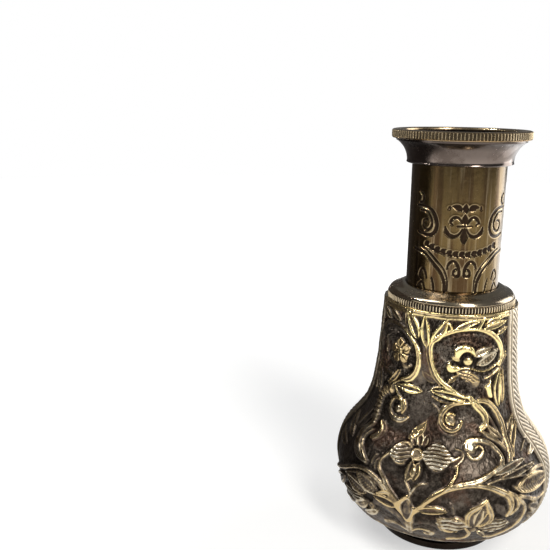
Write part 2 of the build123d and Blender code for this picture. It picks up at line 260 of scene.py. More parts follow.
# ---- meshes ----
def mesh_piece(name, vertices, quads, caps=(), fields=None, sharp=35.0):
    """A mesh object from vertices in millimetres, rows of four corners and any larger faces."""
    mesh = bpy.data.meshes.new(name)
    loops = np.concatenate([np.asarray(quads).ravel(), *[np.asarray(c) for c in caps]])
    sizes = np.concatenate([np.full(len(quads), 4), [len(c) for c in caps]]).astype(int)
    mesh.vertices.add(len(vertices))
    mesh.vertices.foreach_set("co", (np.asarray(vertices) * MM).astype(np.float32).ravel())
    mesh.loops.add(len(loops))
    mesh.loops.foreach_set("vertex_index", loops.astype(np.int32))
    mesh.polygons.add(len(sizes))
    starts = np.concatenate([[0], np.cumsum(sizes)[:-1]])
    mesh.polygons.foreach_set("loop_start", starts.astype(np.int32))
    mesh.update(calc_edges=True)
    mesh.validate()
    mesh.polygons.foreach_set("use_smooth", np.ones(len(mesh.polygons), bool))
    mesh.set_sharp_from_angle(angle=radians(sharp))
    for field, values in (fields or {}).items():
        layer = mesh.attributes.new(field, "FLOAT", "POINT")
        layer.data.foreach_set("value", np.asarray(values, np.float32).ravel())
    piece = bpy.data.objects.new(name, mesh)
    bpy.context.scene.collection.objects.link(piece)
    return piece


def swept(name, degrees, radii, heights, closed=True, fields=None, sharp=35.0):
    """A piece from grids of radius and height, whose rows close on themselves like a ring's
    section. Its columns close too, or are capped where closed is False."""
    rows, columns = radii.shape
    turn = np.radians(degrees)[None, :]
    points = np.stack([radii * np.sin(turn), -radii * np.cos(turn), heights], -1).reshape(-1, 3)
    i = np.arange(rows)[:, None]
    j = np.arange(columns if closed else columns - 1)[None, :]
    i2 = (i + 1) % rows
    j2 = (j + 1) % columns
    quads = np.stack([i * columns + j, i * columns + j2, i2 * columns + j2, i2 * columns + j], -1)
    caps = []
    if not closed:
        caps = [np.arange(rows) * columns, (np.arange(rows) * columns + columns - 1)[::-1]]
    return mesh_piece(name, points, quads.reshape(-1, 4), caps, fields, sharp)


def lathe(name, section, columns=256, sharp=35.0, cut=None):
    """A ring turned from a closed section of (radius, height) points, outside going up."""
    section = np.array(section, float)
    degrees = np.arange(columns) * 360.0 / columns
    radii = np.repeat(section[:, :1], columns, 1)
    heights = np.repeat(section[:, 1:], columns, 1)
    fields = None if cut is None else {"cut": np.repeat(np.array(cut)[:, None], columns, 1)}
    return swept(name, degrees, radii, heights, fields=fields, sharp=sharp)


def rounded(corners, radius=0.12, steps=3):
    """A closed section whose corners are rounded a little."""
    c = np.array(corners, float)
    out = []
    for n in range(len(c)):
        before = c[n - 1] - c[n]
        after = c[(n + 1) % len(c)] - c[n]
        r = min(radius, 0.45 * np.hypot(*before), 0.45 * np.hypot(*after))
        start = c[n] + before / np.hypot(*before) * r
        end = c[n] + after / np.hypot(*after) * r
        for t in np.linspace(0, 1, steps):
            out.append((1 - t) ** 2 * start + 2 * t * (1 - t) * c[n] + t * t * end)
    return out


def arc(centre, radius, start, end, steps=24):
    turn = np.radians(np.linspace(start, end, steps))
    return [(centre[0] + radius * cos(a), centre[1] + radius * sin(a)) for a in turn]


def add_piece(piece, material, body, slot, *replaced):
    """Gives a new piece its finish and its place in the model."""
    piece.data.materials.append(material)
    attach(piece, body)
    if replaced:
        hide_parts(*replaced)
    return piece


# ---- materials ----
class Finish:
    """A node material in the making."""

    def __init__(self, name):
        self.material = bpy.data.materials.new(name)
        self.material.use_nodes = True
        self.tree = self.material.node_tree
        self.shader = next(n for n in self.tree.nodes if n.type == "BSDF_PRINCIPLED")
        coordinates = self.tree.nodes.new("ShaderNodeTexCoord")
        self.mm = self.vector("SCALE", coordinates.outputs["Object"], scale=1 / MM)

    def link(self, value, socket):
        if isinstance(value, bpy.types.NodeSocket):
            self.tree.links.new(value, socket)
        elif value is not None:
            socket.default_value = value

    def vector(self, operation, a, b=None, scale=None, out="Vector"):
        node = self.tree.nodes.new("ShaderNodeVectorMath")
        node.operation = operation
        self.link(a, node.inputs[0])
        self.link(b, node.inputs[1])
        if scale is not None:
            node.inputs["Scale"].default_value = scale
        return node.outputs[out]

    def noise(self, scale, detail=4.0, roughness=0.55, stretch=(1, 1, 1), distortion=0.0):
        node = self.tree.nodes.new("ShaderNodeTexNoise")
        node.inputs["Scale"].default_value = scale
        node.inputs["Detail"].default_value = detail
        node.inputs["Roughness"].default_value = roughness
        node.inputs["Distortion"].default_value = distortion
        self.link(self.vector("MULTIPLY", self.mm, stretch), node.inputs["Vector"])
        return node.outputs["Fac"]

    def field(self, name):
        node = self.tree.nodes.new("ShaderNodeAttribute")
        node.attribute_name = name
        return node.outputs["Fac"]

    def height_up(self):
        """The height above the floor, in millimetres."""
        node = self.tree.nodes.new("ShaderNodeSeparateXYZ")
        self.link(self.mm, node.inputs[0])
        return node.outputs["Z"]

    def math(self, operation, a, b=0.0):
        node = self.tree.nodes.new("ShaderNodeMath")
        node.operation = operation
        self.link(a, node.inputs[0])
        self.link(b, node.inputs[1])
        return node.outputs[0]

    def between(self, value, low, high, to_low=0.0, to_high=1.0):
        node = self.tree.nodes.new("ShaderNodeMapRange")
        node.interpolation_type = "SMOOTHSTEP"
        self.link(value, node.inputs["Value"])
        node.inputs["From Min"].default_value = low
        node.inputs["From Max"].default_value = high
        node.inputs["To Min"].default_value = to_low
        node.inputs["To Max"].default_value = to_high
        return node.outputs["Result"]

    def mix(self, amount, a, b):
        node = self.tree.nodes.new("ShaderNodeMix")
        node.data_type = "RGBA"
        self.link(amount, node.inputs["Factor"])
        for value, socket in ((a, node.inputs[6]), (b, node.inputs[7])):
            self.link((*value, 1.0) if isinstance(value, tuple) else value, socket)
        return node.outputs[2]

    def bump(self, height, distance, strength=1.0, normal=None):
        node = self.tree.nodes.new("ShaderNodeBump")
        node.inputs["Strength"].default_value = strength
        node.inputs["Distance"].default_value = distance * MM
        self.link(height, node.inputs["Height"])
        self.link(normal, node.inputs["Normal"])
        return node.outputs["Normal"]

    def done(self, **sockets):
        for name, value in sockets.items():
            socket = self.shader.inputs[name.replace("_", " ").title().replace("Ior", "IOR")]
            if isinstance(value, tuple):
                value = (*value, 1.0)
            self.link(value, socket)
        return self.material


def chased_brass():
    """Cast and chased brass: rubbed bright on the crests, dark in the punched ground, with painted shade
    along the foot of the raised work and over the lower bulb.
    """
    f = Finish("chased_brass")
    height = f.field("height")
    crest = f.field("crest")
    gilt = f.field("gilt")
    broad = f.noise(0.09, 3.0)
    mottle = f.noise(0.45, 5.0, 0.6)
    fine = f.noise(2.6, 4.0, 0.6)
    wear = f.math("MULTIPLY", f.math("SUBTRACT", mottle, 0.5), 1.3)
    lift = f.math("ADD", f.math("MULTIPLY", height, 0.25), f.math("MULTIPLY", crest, 1.5))
    lift = f.math("ADD", lift, f.math("MULTIPLY", gilt, 0.55))
    rub = f.between(f.math("ADD", lift, wear), 0.08, 1.15)
    ground = f.mix(f.between(mottle, 0.35, 0.65), (0.06, 0.045, 0.034), (0.16, 0.132, 0.104))
    ground = f.mix(f.between(broad, 0.54, 0.64), ground, (0.1, 0.054, 0.034))
    ground = f.mix(f.between(fine, 0.35, 0.68, 0.0, 0.4), ground, (0.22, 0.19, 0.155))
    # Painted shade: the ground is darker on the lower bulb, below 42 mm, fading out by 60 mm.
    belly = f.between(f.height_up(), 42.0, 60.0, 0.28, 0.0)
    ground = f.mix(belly, ground, (0.05, 0.033, 0.025))
    olive = f.mix(f.between(mottle, 0.35, 0.7), (0.2, 0.145, 0.08), (0.36, 0.27, 0.155))
    colour = f.mix(f.between(rub, 0.1, 0.55), ground, olive)
    gold = f.mix(f.between(gilt, 0.15, 0.45), (0.56, 0.5, 0.39), (0.6, 0.44, 0.22))
    gold = f.mix(f.between(gilt, 0.5, 0.95), gold, (1.0, 0.83, 0.4))
    colour = f.mix(f.between(rub, 0.5, 1.0), colour, gold)
    bare = f.math("MULTIPLY", f.field("bare"), f.between(mottle, 0.25, 0.65, 0.85, 0.4))
    colour = f.mix(bare, colour, (0.64, 0.55, 0.41))
    # Near black where the crest is negative, along the foot of the raised work: dark patina in the grooves
    # and painted shade.
    groove_patina_and_shade = f.between(crest, -0.34, -0.06, 1.0, 0.0)
    colour = f.mix(f.math("MULTIPLY", groove_patina_and_shade, 0.9), colour, (0.01, 0.007, 0.005))
    rough = f.math("ADD", f.between(rub, 0.0, 1.0, 0.34, 0.2), f.math("MULTIPLY", fine, 0.1))
    grit = f.math("MULTIPLY", f.noise(1.9, 3.0, 0.65), f.between(rub, 0.1, 0.6, 1.0, 0.12))
    normal = f.bump(grit, 0.06, 0.5)
    normal = f.bump(f.noise(7.0, 2.0), 0.01, 0.3, normal)
    metal = f.between(rub, 0.0, 0.6, 0.985, 1.0)
    return f.done(base_color=colour, roughness=rough, metallic=metal, normal=normal)


def turned_brass(name, light, dark, rough=0.22, aged=0.5, pits=0.5, lines=1.0, dirt_and_shade=0.95):
    """Turned and polished brass with tarnish, fine turning lines, small scratches, and cuts darkened with
    dirt and painted shade.
    """
    f = Finish(name)
    broad = f.noise(0.12, 4.0, 0.6, distortion=0.6)
    mottle = f.noise(0.9, 5.0, 0.65)
    rings = f.noise(1.0, 3.0, 0.6, stretch=(0.05, 0.05, 9.0))
    scratch = f.noise(1.2, 2.0, 0.5, stretch=(6.0, 6.0, 0.25))
    spots = f.between(f.noise(1.7, 2.0, 0.4), 0.66, 0.76)
    tarnish = f.math("ADD", f.math("MULTIPLY", broad, 0.7), f.math("MULTIPLY", mottle, 0.3))
    tarnish = f.between(tarnish, 0.62 - 0.3 * aged, 0.74 - 0.16 * aged)
    colour = f.mix(tarnish, light, dark)
    colour = f.mix(f.math("MULTIPLY", spots, 0.55 * pits), colour, tuple(c * 0.35 for c in dark))
    colour = f.mix(f.math("MULTIPLY", f.field("rubbed"), 0.45), colour, (0.8, 0.66, 0.42))
    bands = f.math("MULTIPLY", rings, 0.3)
    colour = f.mix(bands, colour, tuple(min(1.0, c * 1.25) for c in light))
    # Near black where the 'cut' field is set: dirt and painted shade in the knurl gaps, and painted shade in
    # the bell's cove under its rim.
    colour = f.mix(f.between(f.field("cut"), 0.2, 0.8, 0.0, dirt_and_shade), colour, (0.008, 0.005, 0.004))
    change = f.math("ADD", f.math("MULTIPLY", tarnish, 0.16), f.math("MULTIPLY", mottle, 0.1))
    roughness = f.math("ADD", change, rough - 0.05)
    normal = f.bump(rings, 0.012 * lines, 0.6)
    normal = f.bump(scratch, 0.006, 0.5, normal)
    normal = f.bump(broad, 0.12, 0.25, normal)
    return f.done(base_color=colour, roughness=roughness, metallic=1.0, normal=normal)


def engraved_brass():
    """The draw tube: olive-gold brass, dirt in the engraving and in broad upright stains, painted sheen in
    light upright streaks, painted shade towards the top and painted highlight round the cuts.
    """
    f = Finish("engraved_brass")
    cut = f.field("cut")
    edge = f.field("edge")
    stains = f.noise(0.2, 3.0, 0.6, stretch=(1.0, 1.0, 0.1))
    streaks_and_painted_sheen = f.noise(0.75, 3.0, 0.55, stretch=(1.0, 1.0, 0.035))
    mottle = f.noise(0.8, 5.0, 0.62)
    drawn = f.noise(1.3, 3.0, 0.5, stretch=(5.0, 5.0, 0.12))
    specks = f.between(f.noise(2.4, 2.0, 0.5), 0.66, 0.76)
    upper = f.between(f.height_up(), top_of("neck_collar") + 12.0, top_of("draw_tube"))
    colour = f.mix(f.between(stains, 0.44, 0.56), (0.14, 0.095, 0.037), (0.055, 0.031, 0.014))
    # Light upright streaks: painted sheen that stands in for reflections down the polished tube.
    colour = f.mix(f.between(streaks_and_painted_sheen, 0.52, 0.66, 0.0, 0.7), colour, (0.32, 0.25, 0.15))
    colour = f.mix(f.between(mottle, 0.45, 0.8, 0.0, 0.3), colour, (0.2, 0.155, 0.085))
    colour = f.mix(f.math("MULTIPLY", drawn, 0.4), colour, (0.1, 0.06, 0.028))
    # Painted shade: the tube is darker towards its top, under the eyepiece bell.
    colour = f.mix(f.math("MULTIPLY", upper, 0.4), colour, (0.085, 0.058, 0.026))
    colour = f.mix(f.math("MULTIPLY", specks, 0.3), colour, (0.06, 0.038, 0.02))
    # Lighter brass round the engraved cuts: the burr rubbed bright, and painted highlight on the cut edges.
    colour = f.mix(f.between(edge, 0.2, 0.9, 0.0, 0.8), colour, (0.36, 0.28, 0.16))
    dirt = f.math("MULTIPLY", f.between(cut, 0.15, 0.7), f.between(mottle, 0.1, 0.5, 0.7, 0.96))
    colour = f.mix(dirt, colour, (0.02, 0.011, 0.006))
    rough = f.math("ADD", f.between(mottle, 0.3, 0.75, 0.16, 0.28), f.math("MULTIPLY", dirt, 0.2))
    normal = f.bump(drawn, 0.016, 0.6)
    normal = f.bump(streaks_and_painted_sheen, 0.05, 0.35, normal)
    normal = f.bump(f.noise(0.35, 3.0), 0.06, 0.25, normal)
    metal = f.between(dirt, 0.0, 1.0, 1.0, 0.9)
    return f.done(base_color=colour, roughness=rough, metallic=metal, normal=normal)


def glass(name, tint, rough=0.02, grind=0.0, dirt=0.15):
    """Glass with faint smears, or ground matt."""
    f = Finish(name)
    smear = f.noise(0.3, 4.0, 0.6)
    dust = f.between(f.noise(3.0, 2.0), 0.62, 0.74)
    colour = f.mix(f.math("MULTIPLY", smear, dirt), tint, tuple(c * 0.8 for c in tint))
    roughness = f.math("ADD", f.math("MULTIPLY", smear, 0.06), f.math("MULTIPLY", dust, 0.15))
    roughness = f.math("ADD", roughness, rough)
    normal = f.bump(f.noise(6.0 if grind else 0.4, 3.0), 0.06 if grind else 0.02, 0.2 + 0.6 * grind)
    return f.done(
        base_color=colour, roughness=roughness, transmission_weight=1.0, ior=1.5, normal=normal
    )


def matt(name, light, dark, scale, rough=0.85, depth=0.1, stretch=(1, 1, 1), sheen=0.0):
    """Card, felt or foam: a soft surface with a fine grain."""
    f = Finish(name)
    coarse = f.noise(scale, 5.0, 0.7, stretch=stretch)
    fibre = f.noise(scale * 5, 3.0, 0.6, stretch=stretch)
    colour = f.mix(f.between(coarse, 0.35, 0.65), dark, light)
    colour = f.mix(f.math("MULTIPLY", fibre, 0.4), colour, tuple(c * 1.5 for c in light))
    roughness = f.between(fibre, 0.2, 0.8, rough - 0.12, rough)
    normal = f.bump(fibre, depth, 0.7)
    return f.done(base_color=colour, roughness=roughness, sheen_weight=sheen, normal=normal)


def silvered():
    """Mirror glass, slightly foxed."""
    f = Finish("silvered_glass")
    fox = f.between(f.noise(0.5, 5.0, 0.7), 0.62, 0.8)
    colour = f.mix(fox, (0.86, 0.88, 0.88), (0.5, 0.46, 0.4))
    rough = f.math("ADD", f.math("MULTIPLY", fox, 0.2), 0.03)
    return f.done(base_color=colour, roughness=rough, metallic=1.0)


def brushed_steel():
    f = Finish("bright_steel")
    brush = f.noise(2.0, 3.0, 0.5, stretch=(1.0, 6.0, 1.0))
    colour = f.mix(brush, (0.42, 0.42, 0.43), (0.66, 0.66, 0.67))
    rough = f.between(brush, 0.3, 0.7, 0.22, 0.36)
    return f.done(base_color=colour, roughness=rough, metallic=1.0, normal=f.bump(brush, 0.01, 0.5))


BULB = chased_brass()
TUBE = engraved_brass()
COLLAR = turned_brass("collar_brass", (0.44, 0.36, 0.25), (0.2, 0.15, 0.11), 0.17, 0.45)
BELL = turned_brass("bell_brass", (0.15, 0.12, 0.103), (0.1, 0.076, 0.063), 0.17, 0.5)
RIM = turned_brass("rim_brass", (0.4, 0.3, 0.18), (0.24, 0.165, 0.1), 0.24, 0.5, dirt_and_shade=0.7)
# The foot is near black: dark brass, darkened further as painted shade under the bulb's overhang.
FOOT = turned_brass("foot_brass", (0.022, 0.016, 0.012), (0.012, 0.008, 0.006), 0.28, 0.7)
PLAIN = turned_brass("plain_brass", (0.66, 0.5, 0.24), (0.42, 0.3, 0.14), 0.22, 0.3)
FOIL = turned_brass("foil_brass", (0.86, 0.66, 0.24), (0.7, 0.5, 0.16), 0.12, 0.2)
STEEL = brushed_steel()
CARD = matt("black_card", (0.022, 0.021, 0.02), (0.012, 0.012, 0.012), 0.8, 0.8, 0.03)
FELT = matt("black_felt", (0.045, 0.042, 0.04), (0.018, 0.017, 0.017), 0.9, 0.95, 0.12, sheen=0.4)
FOAM = matt("grey_foam", (0.09, 0.09, 0.09), (0.03, 0.03, 0.03), 1.4, 0.95, 0.2)
SILVER = silvered()
LENS = glass("lens_glass", (0.97, 0.985, 0.98))
CLEAR = glass("clear_glass", (0.95, 0.98, 0.97))
FROST = glass("frosted_glass", (0.86, 0.89, 0.88), 0.5, 1.0)
RED = glass("red_glass", (0.75, 0.03, 0.04), 0.03)
BLUE = glass("blue_glass", (0.03, 0.16, 0.75), 0.03)
GREEN = glass("green_glass", (0.05, 0.55, 0.16), 0.03)


# ---- the bulb's ornament ----
NECK_TOP = 87.8
FRONT_AXIS = -10.0
RIGHT_SEAM = 84.0
LEFT_SEAM = -104.0


def draw_panel(r):
    """One panel of leaves, scrolls and flowers, between two seam bands."""
    # plain rims at the neck and round the underside
    r.rib([(-110, 87.0), (0, 87.0), (90, 87.0)], 1.2, 0.75, 0.8)
    r.rib([(-110, 10.4), (0, 10.4), (90, 10.4)], 0.9, 0.5, 0.3)

    # leaves fanning out under the collar
    r.leaf((-24.5, 78.6), (-36.8, 87.2), 1.9, -0.3, rib=0.2, gilt=0.9)
    r.leaf((-16.2, 76.6), (-20.0, 86.6), 1.65, 0.2, rib=0.0, gilt=1.0)
    r.leaf((-12.6, 78.2), (-0.5, 86.2), 1.7, -0.3, rib=0.2, gilt=0.9)
    r.rib([(-2, 85.4), (1, 84.8), (3.2, 82.8)], (0.3, 0.5, 0.35), 0.8, 0.8)
    r.leaf((6, 82.9), (27, 85.8), 1.05, 0.5, rib=0.2, gilt=0.9)
    r.rib([(25, 83.4), (27.5, 84.8), (30.5, 86.8)], 0.5, 0.85, 0.9)
    r.leaf((30, 84.2), (53, 87.0), 1.0, 0.4, rib=0.1, gilt=0.9)
    r.leaf((30, 83.2), (56, 84.9), 1.1, 0.1, gilt=0.8)
    r.leaf((43, 81.0), (57, 82.6), 1.0, 0.2, gilt=0.7)
    r.rib([(-38.5, 87), (-39, 84.4), (-36, 81.4), (-31, 79)], 0.35, 0.6, 0.4)
    r.leaf((-44, 83.0), (-60, 86.8), 1.2, 0.3, gilt=0.3)
    r.leaf((-58, 82.6), (-76, 86.0), 1.4, 0.3, gilt=0.3)

    # web between the two ovals
    r.plate([(-22, 78.6), (-20.4, 75.0), (-19.6, 71.6), (-21.4, 68.0), (-27, 65.4), (-26, 63.4),
             (-18, 64.0), (-10, 65.6), (-5, 65.6), (-10, 69.6), (-14, 74.0), (-16.6, 78.6)], 0.42, 0.5,
            0.12)
    r.leaf((-6.5, 65.6), (-18, 68.4), 1.3, 0.3, veins=0.8, height=0.6, gilt=0.25)
    r.rib([(-17, 78.4), (-15.8, 74.2), (-13.0, 70.6), (-9.2, 67.4), (-3.5, 64.9)], 0.3, 0.75, 0.5)

    # left oval, deeply hollowed, with its flower
    r.rib([(-38, 80.6), (-31, 78.6), (-25.5, 76.0), (-22.4, 72.6), (-22.6, 69.2), (-25.2, 66.6),
           (-30, 64.8), (-35, 64.2)], (0.3, 0.4, 0.6, 0.9, 1.0, 1.1, 1.3, 0.7), 0.9, 0.9)
    r.oval((-50, 73), 27.5, 8.6, 0.7, 0.7, 60, 215, 0.25)
    r.oval((-50, 73), 23, 7.0, 0.35, 0.45, 30, 300, 0.15)
    for k in range(5):
        turn = radians(25 + 72 * k)
        start = (-40.5 + 2.0 * cos(turn), 73.2 + 0.9 * sin(turn))
        tip = (-40.5 + 10.5 * cos(turn), 73.2 + 4.2 * sin(turn))
        r.leaf(start, tip, 1.7, belly=0.6, core=0.75, rib=0.2, height=0.95, gilt=0.55)
    r.knob((-40.5, 73.2), 1.2, 1.15, 0.3, 0.7)
    r.rib([(-40, 70.6), (-37.5, 69.4), (-33, 68.6), (-29.5, 69.2)], (0.4, 0.9, 0.5), 0.8, 0.3)
    r.rib([(-62.5, 76), (-61, 73.4), (-59, 71)], (0.4, 0.8, 0.4), 0.7, 0.2)
    r.leaf((-38.5, 67.2), (-51.5, 60.8), 1.1, 0.5, rib=0.0, gilt=0.5)
    r.ribbed([(-58, 70), (-60, 66), (-58, 62)], 0.8, 0.5, 0.8, 0.2)
    r.ribbed([(-64, 69), (-66, 65), (-63, 60)], 0.7, 0.5, 0.8, 0.2)

    # right oval, with its flower
    r.rib([(10, 62.6), (4, 64.4), (-1.5, 65.8), (-6, 67.9), (-10, 70.8), (-12.4, 74.4), (-12.6, 77.4),
           (-9.6, 79.4), (-4, 81.0), (3, 82.2), (11, 83.0), (20, 83.2), (29, 82.8), (37, 81.5), (44, 79.3),
           (48.6, 76.4), (49.2, 73.6), (46.5, 71.2)],
          (0.7, 0.75, 0.65, 0.7, 0.75, 0.6, 0.6, 0.9, 1.05, 0.8), 0.95, 1.0)
    r.rib([(19, 61.2), (12, 62.2), (6, 63.6)], (0.5, 0.7), 0.9, 0.9)
    r.oval((19, 76), 25.5, 5.4, 0.22, 0.35, 40, 200, 0.1)
    for k in range(4):
        r.rib([(31 + 3.2 * k, 80.2 - 1.0 * k), (35 + 3.0 * k, 78.4 - 1.1 * k)], 0.22, 0.35, 0.1)
    r.plate([(6, 76.8), (6.6, 74.4), (9.6, 73.4), (12.2, 74.8), (15.6, 75.8), (20, 75.2), (23.6, 74.2),
             (22.8, 76.8), (18, 78.2), (11.5, 78.2)], 0.95, 0.6, 0.95)
    r.rib([(10.4, 76.9), (15, 77.2), (19.6, 76.6)], 0.3, 1.15, 0.4)
    r.leaf((11.2, 73.2), (3.6, 74.4), 0.8, core=0.8, rib=0.0, height=0.7, gilt=0.7)
    r.rib([(5.5, 76.4), (7.6, 78.4), (13, 79.3), (20, 79.0), (25, 77.6)], (0.2, 0.35, 0.25), 0.5, 0.2)
    r.plate([(1.0, 72.4), (0.0, 70.8), (2.6, 69.2), (8, 69.4), (12.8, 70.8), (9, 71.7), (5.2, 71.7),
             (3, 73.0)], 0.95, 0.5, 0.95)
    r.plate([(13, 73.0), (14.8, 71.7), (20, 71.8), (22, 73.4), (18.6, 74.5), (14.4, 74.2)], 0.85, 0.7, 0.75)
    r.leaf((22, 74.6), (38, 77.2), 1.4, 0.2, veins=0.9, core=0.55, height=0.95, gilt=0.25)
    r.leaf((25, 71.9), (44, 76.2), 1.9, -0.3, veins=1.0, core=0.6, height=0.95, gilt=0.25)
    r.leaf((9, 69.4), (28, 66.2), 1.9, 0.3, hatch=1.0, core=0.6, height=0.65, belly=0.5, gilt=0.55)
    r.rib([(12, 70.8), (20, 70.7), (28, 69.7), (35, 69.8), (42, 70.9), (48, 72.4), (55, 74.6)],
          (0.35, 0.4, 0.3), 0.85, 0.7)
    r.rib([(33, 67.0), (38, 67.8), (46, 69.6), (52, 72.0), (56, 73.4)], (0.3, 0.5, 0.4), 0.7, 0.5)
    r.leaf((2.5, 65.8), (10.5, 68.8), 0.8, gilt=0.5)
    r.plate([(20, 64), (27, 64.4), (28, 68), (22, 68.8)], 0.4, 0.6, 0.3)
    r.plate([(31.6, 64.6), (35.5, 65.4), (39, 67.6), (38.6, 63.6), (39, 60.4), (36.2, 60.6), (34, 62.8)],
            0.85, 0.5, 1.0)
    r.leaf((45.5, 57.2), (48, 70.0), 1.45, 1.0, rib=0.0, gilt=0.8)
    r.leaf((50.5, 58.0), (51.5, 70.0), 1.1, 0.3, rib=0.0, gilt=0.6)

    # row of leaves across the waist
    r.leaf((-41.5, 61.8), (-17.0, 61.9), 1.7, 0.0, belly=0.6, rib=0.0, gilt=1.0)
    r.rib([(-44, 61.6), (-38, 63.4), (-32, 64.6)], (0.3, 0.6), 0.7, 0.7)
    r.leaf((16, 60.8), (-10.5, 62.7), 1.45, -0.2, rib=0.0, gilt=0.9)
    r.rib([(-10, 63.2), (-4, 64.2), (2, 63.9), (8, 63.1), (14, 61.8)], (0.25, 0.4), 0.75, 0.7)
    r.rib([(-9, 61.0), (-3, 59.8), (6, 59.5), (16, 60.3)], (0.3, 0.4), 0.75, 0.6)
    r.rib([(-8, 58.6), (-4, 57.2), (-1.6, 55.6)], 0.3, 0.5, 0.3)

    # great right-hand scroll
    r.rib([(20, 61.4), (25, 58.7), (30, 56.4), (32.4, 54.2), (31.6, 52.4), (28, 51.2)],
          (0.7, 1.15, 1.2, 1.1, 0.8), 0.95, 0.9)
    r.rib([(24, 59.6), (16, 59.4), (8, 59.1), (2.5, 57.8), (-0.6, 55.6), (-0.4, 53.2), (2.6, 51.4),
           (7.6, 50.8), (12, 51.8), (14, 53.6)], (0.5, 0.5, 0.7, 0.95, 0.85, 0.8, 0.65, 0.55), 0.9, 0.7)
    r.rib([(-3, 54), (-2.2, 51.6), (1.6, 49.9), (7, 49.3), (11, 50.0)], 0.28, 0.45, 0.3)
    r.knob((6.6, 54.2), 1.7, 0.65, 0.0, 0.32)
    r.rib([(2.8, 54.8), (3.4, 53.4), (6, 52.6), (8, 52.7)], 0.35, 0.85, 0.8)
    r.rib([(3.4, 55.6), (6, 56.2), (9, 55.8)], 0.4, 1.05, 0.8)
    r.rib([(27, 60.2), (34, 59.6), (39.6, 57.6), (43.8, 54.8), (46.2, 51.8), (46, 48.4), (45.8, 45.6),
           (44.8, 42.4), (42, 39.6)], (0.6, 0.85, 0.9, 1.0, 1.2, 1.0, 0.9, 0.9, 0.6), 0.95, 0.7)
    r.rib([(33, 56.6), (37.5, 53.6), (40.5, 50.2), (42.5, 46.6), (43, 43.2)], (0.3, 0.45, 0.4), 0.6, 0.3)
    r.leaf((42, 47.6), (32.6, 52.6), 1.15, 0.3, rib=0.3, core=0.5, gilt=0.5)
    r.rib([(26.6, 50.8), (30, 49.9), (35.6, 48.0), (40, 46.0), (42.6, 43.6)], (0.3, 0.75, 0.5, 0.3), 0.9, 0.6)
    r.rib([(16.4, 45.6), (17.4, 47.4), (21, 47.9), (27, 47.7), (32, 46.6), (36, 44.4), (38, 42.0),
           (37, 40.1), (33.6, 38.6), (29, 37.4), (24, 36.1), (18, 35.0), (11, 34.2), (6, 33.2)],
          (0.8, 0.75, 0.65, 0.6, 0.6, 0.65, 0.75, 0.7, 0.5), 0.95, 0.6)
    r.knob((19.2, 45.6), 1.9, 0.8, 0.0, 0.32)
    r.rib([(22.4, 45.4), (24.6, 46.1), (26.6, 44.9), (25.2, 43.2), (21.6, 42.2), (18.6, 42.4), (16.6, 43.8)],
          (0.25, 0.35, 0.55, 0.5, 0.4), 0.9, 0.6)

    # leaves at the right
    r.leaf((48.4, 44.2), (64, 51.2), 1.5, 0.5, rib=0.0, gilt=0.7)
    r.leaf((49.2, 48.4), (62, 53.2), 1.1, 0.3, rib=0.2, gilt=0.5)
    r.rib([(46.2, 40.8), (48.6, 42.8), (51.6, 44.7), (56, 46.4)], (0.25, 0.4, 0.3), 0.8, 0.7)
    r.leaf((63, 49.0), (76, 54.6), 1.3, 0.3, gilt=0.4)
    r.leaf((30, 36.8), (56, 39.2), 1.35, 0.6, rib=0.1, core=0.45, gilt=0.35)
    r.leaf((33, 35.4), (64, 36.6), 1.2, 0.3, rib=0.0, gilt=0.4)
    r.rib([(26, 34.4), (33, 35.2), (42, 35.0), (53, 34.2)], (0.3, 0.4, 0.3), 0.6, 0.35)
    r.leaf((42, 31.4), (74, 29.6), 3.2, 0.7, veins=1.2, core=0.5, gilt=0.6)
    r.rib([(41, 32), (46, 32.4), (50, 33.6), (57, 34.8), (66, 34.4), (74, 33)], (0.3, 0.5, 0.6, 0.5), 0.8,
          0.6)
    r.leaf((60, 39.4), (76, 42.0), 1.3, 0.4, core=0.5, gilt=0.3)
    r.rib([(56, 41.6), (62, 43.4), (70, 44.0), (78, 42.8)], (0.25, 0.4), 0.5, 0.3)

    # daisy
    r.leaf((-10.2, 42.2), (7.6, 42.2), 4.7, 0.0, hatch=1.2, belly=0.5, height=0.95, gilt=0.22)
    r.leaf((-15.6, 42.2), (-30.2, 40.4), 3.4, 0.2, hatch=1.3, belly=0.5, height=0.85, gilt=0.22)
    r.rib([(-29.4, 40.4), (-27.5, 42.6), (-24, 44.5), (-20.6, 44.9), (-17.4, 43.8)], 0.4, 0.9, 0.6)
    r.rib([(-29.4, 40.4), (-26.4, 38.9), (-23, 37.9), (-19.4, 38.2)], 0.35, 0.85, 0.6)
    r.leaf((-14.6, 44.4), (-18.6, 48.2), 1.25, 0.2, rib=0.0, gilt=0.5)
    r.leaf((-12.4, 44.6), (-13.6, 50.0), 1.25, rib=0.0, gilt=0.5)
    r.leaf((-10.4, 44.6), (-8.6, 48.8), 1.15, rib=0.0, gilt=0.4)
    r.leaf((-20.8, 46.4), (-10.8, 52.8), 1.7, -0.4, core=0.75, rib=0.3, gilt=0.75)
    r.leaf((-14.6, 39.8), (-16.2, 33.0), 1.6, 0.3, belly=0.5, gilt=0.6)
    r.leaf((-10.6, 39.6), (-12.4, 33.4), 1.6, -0.3, belly=0.5, gilt=0.7)
    r.knob((-13.0, 41.9), 2.4, 0.8, 0.2, 0.2)
    r.oval((-13.0, 41.9), 3.0, 1.7, 0.32, 1.15, gilt=0.6)
    r.rib([(-16.8, 33.4), (-15, 31.6), (-13.6, 30.2)], 0.35, 0.75, 0.5)
    r.rib([(-13.4, 29.0), (-11.8, 31.2), (-9, 33.0), (-5.4, 33.6)], (0.5, 0.4, 0.25), 0.7, 0.4)

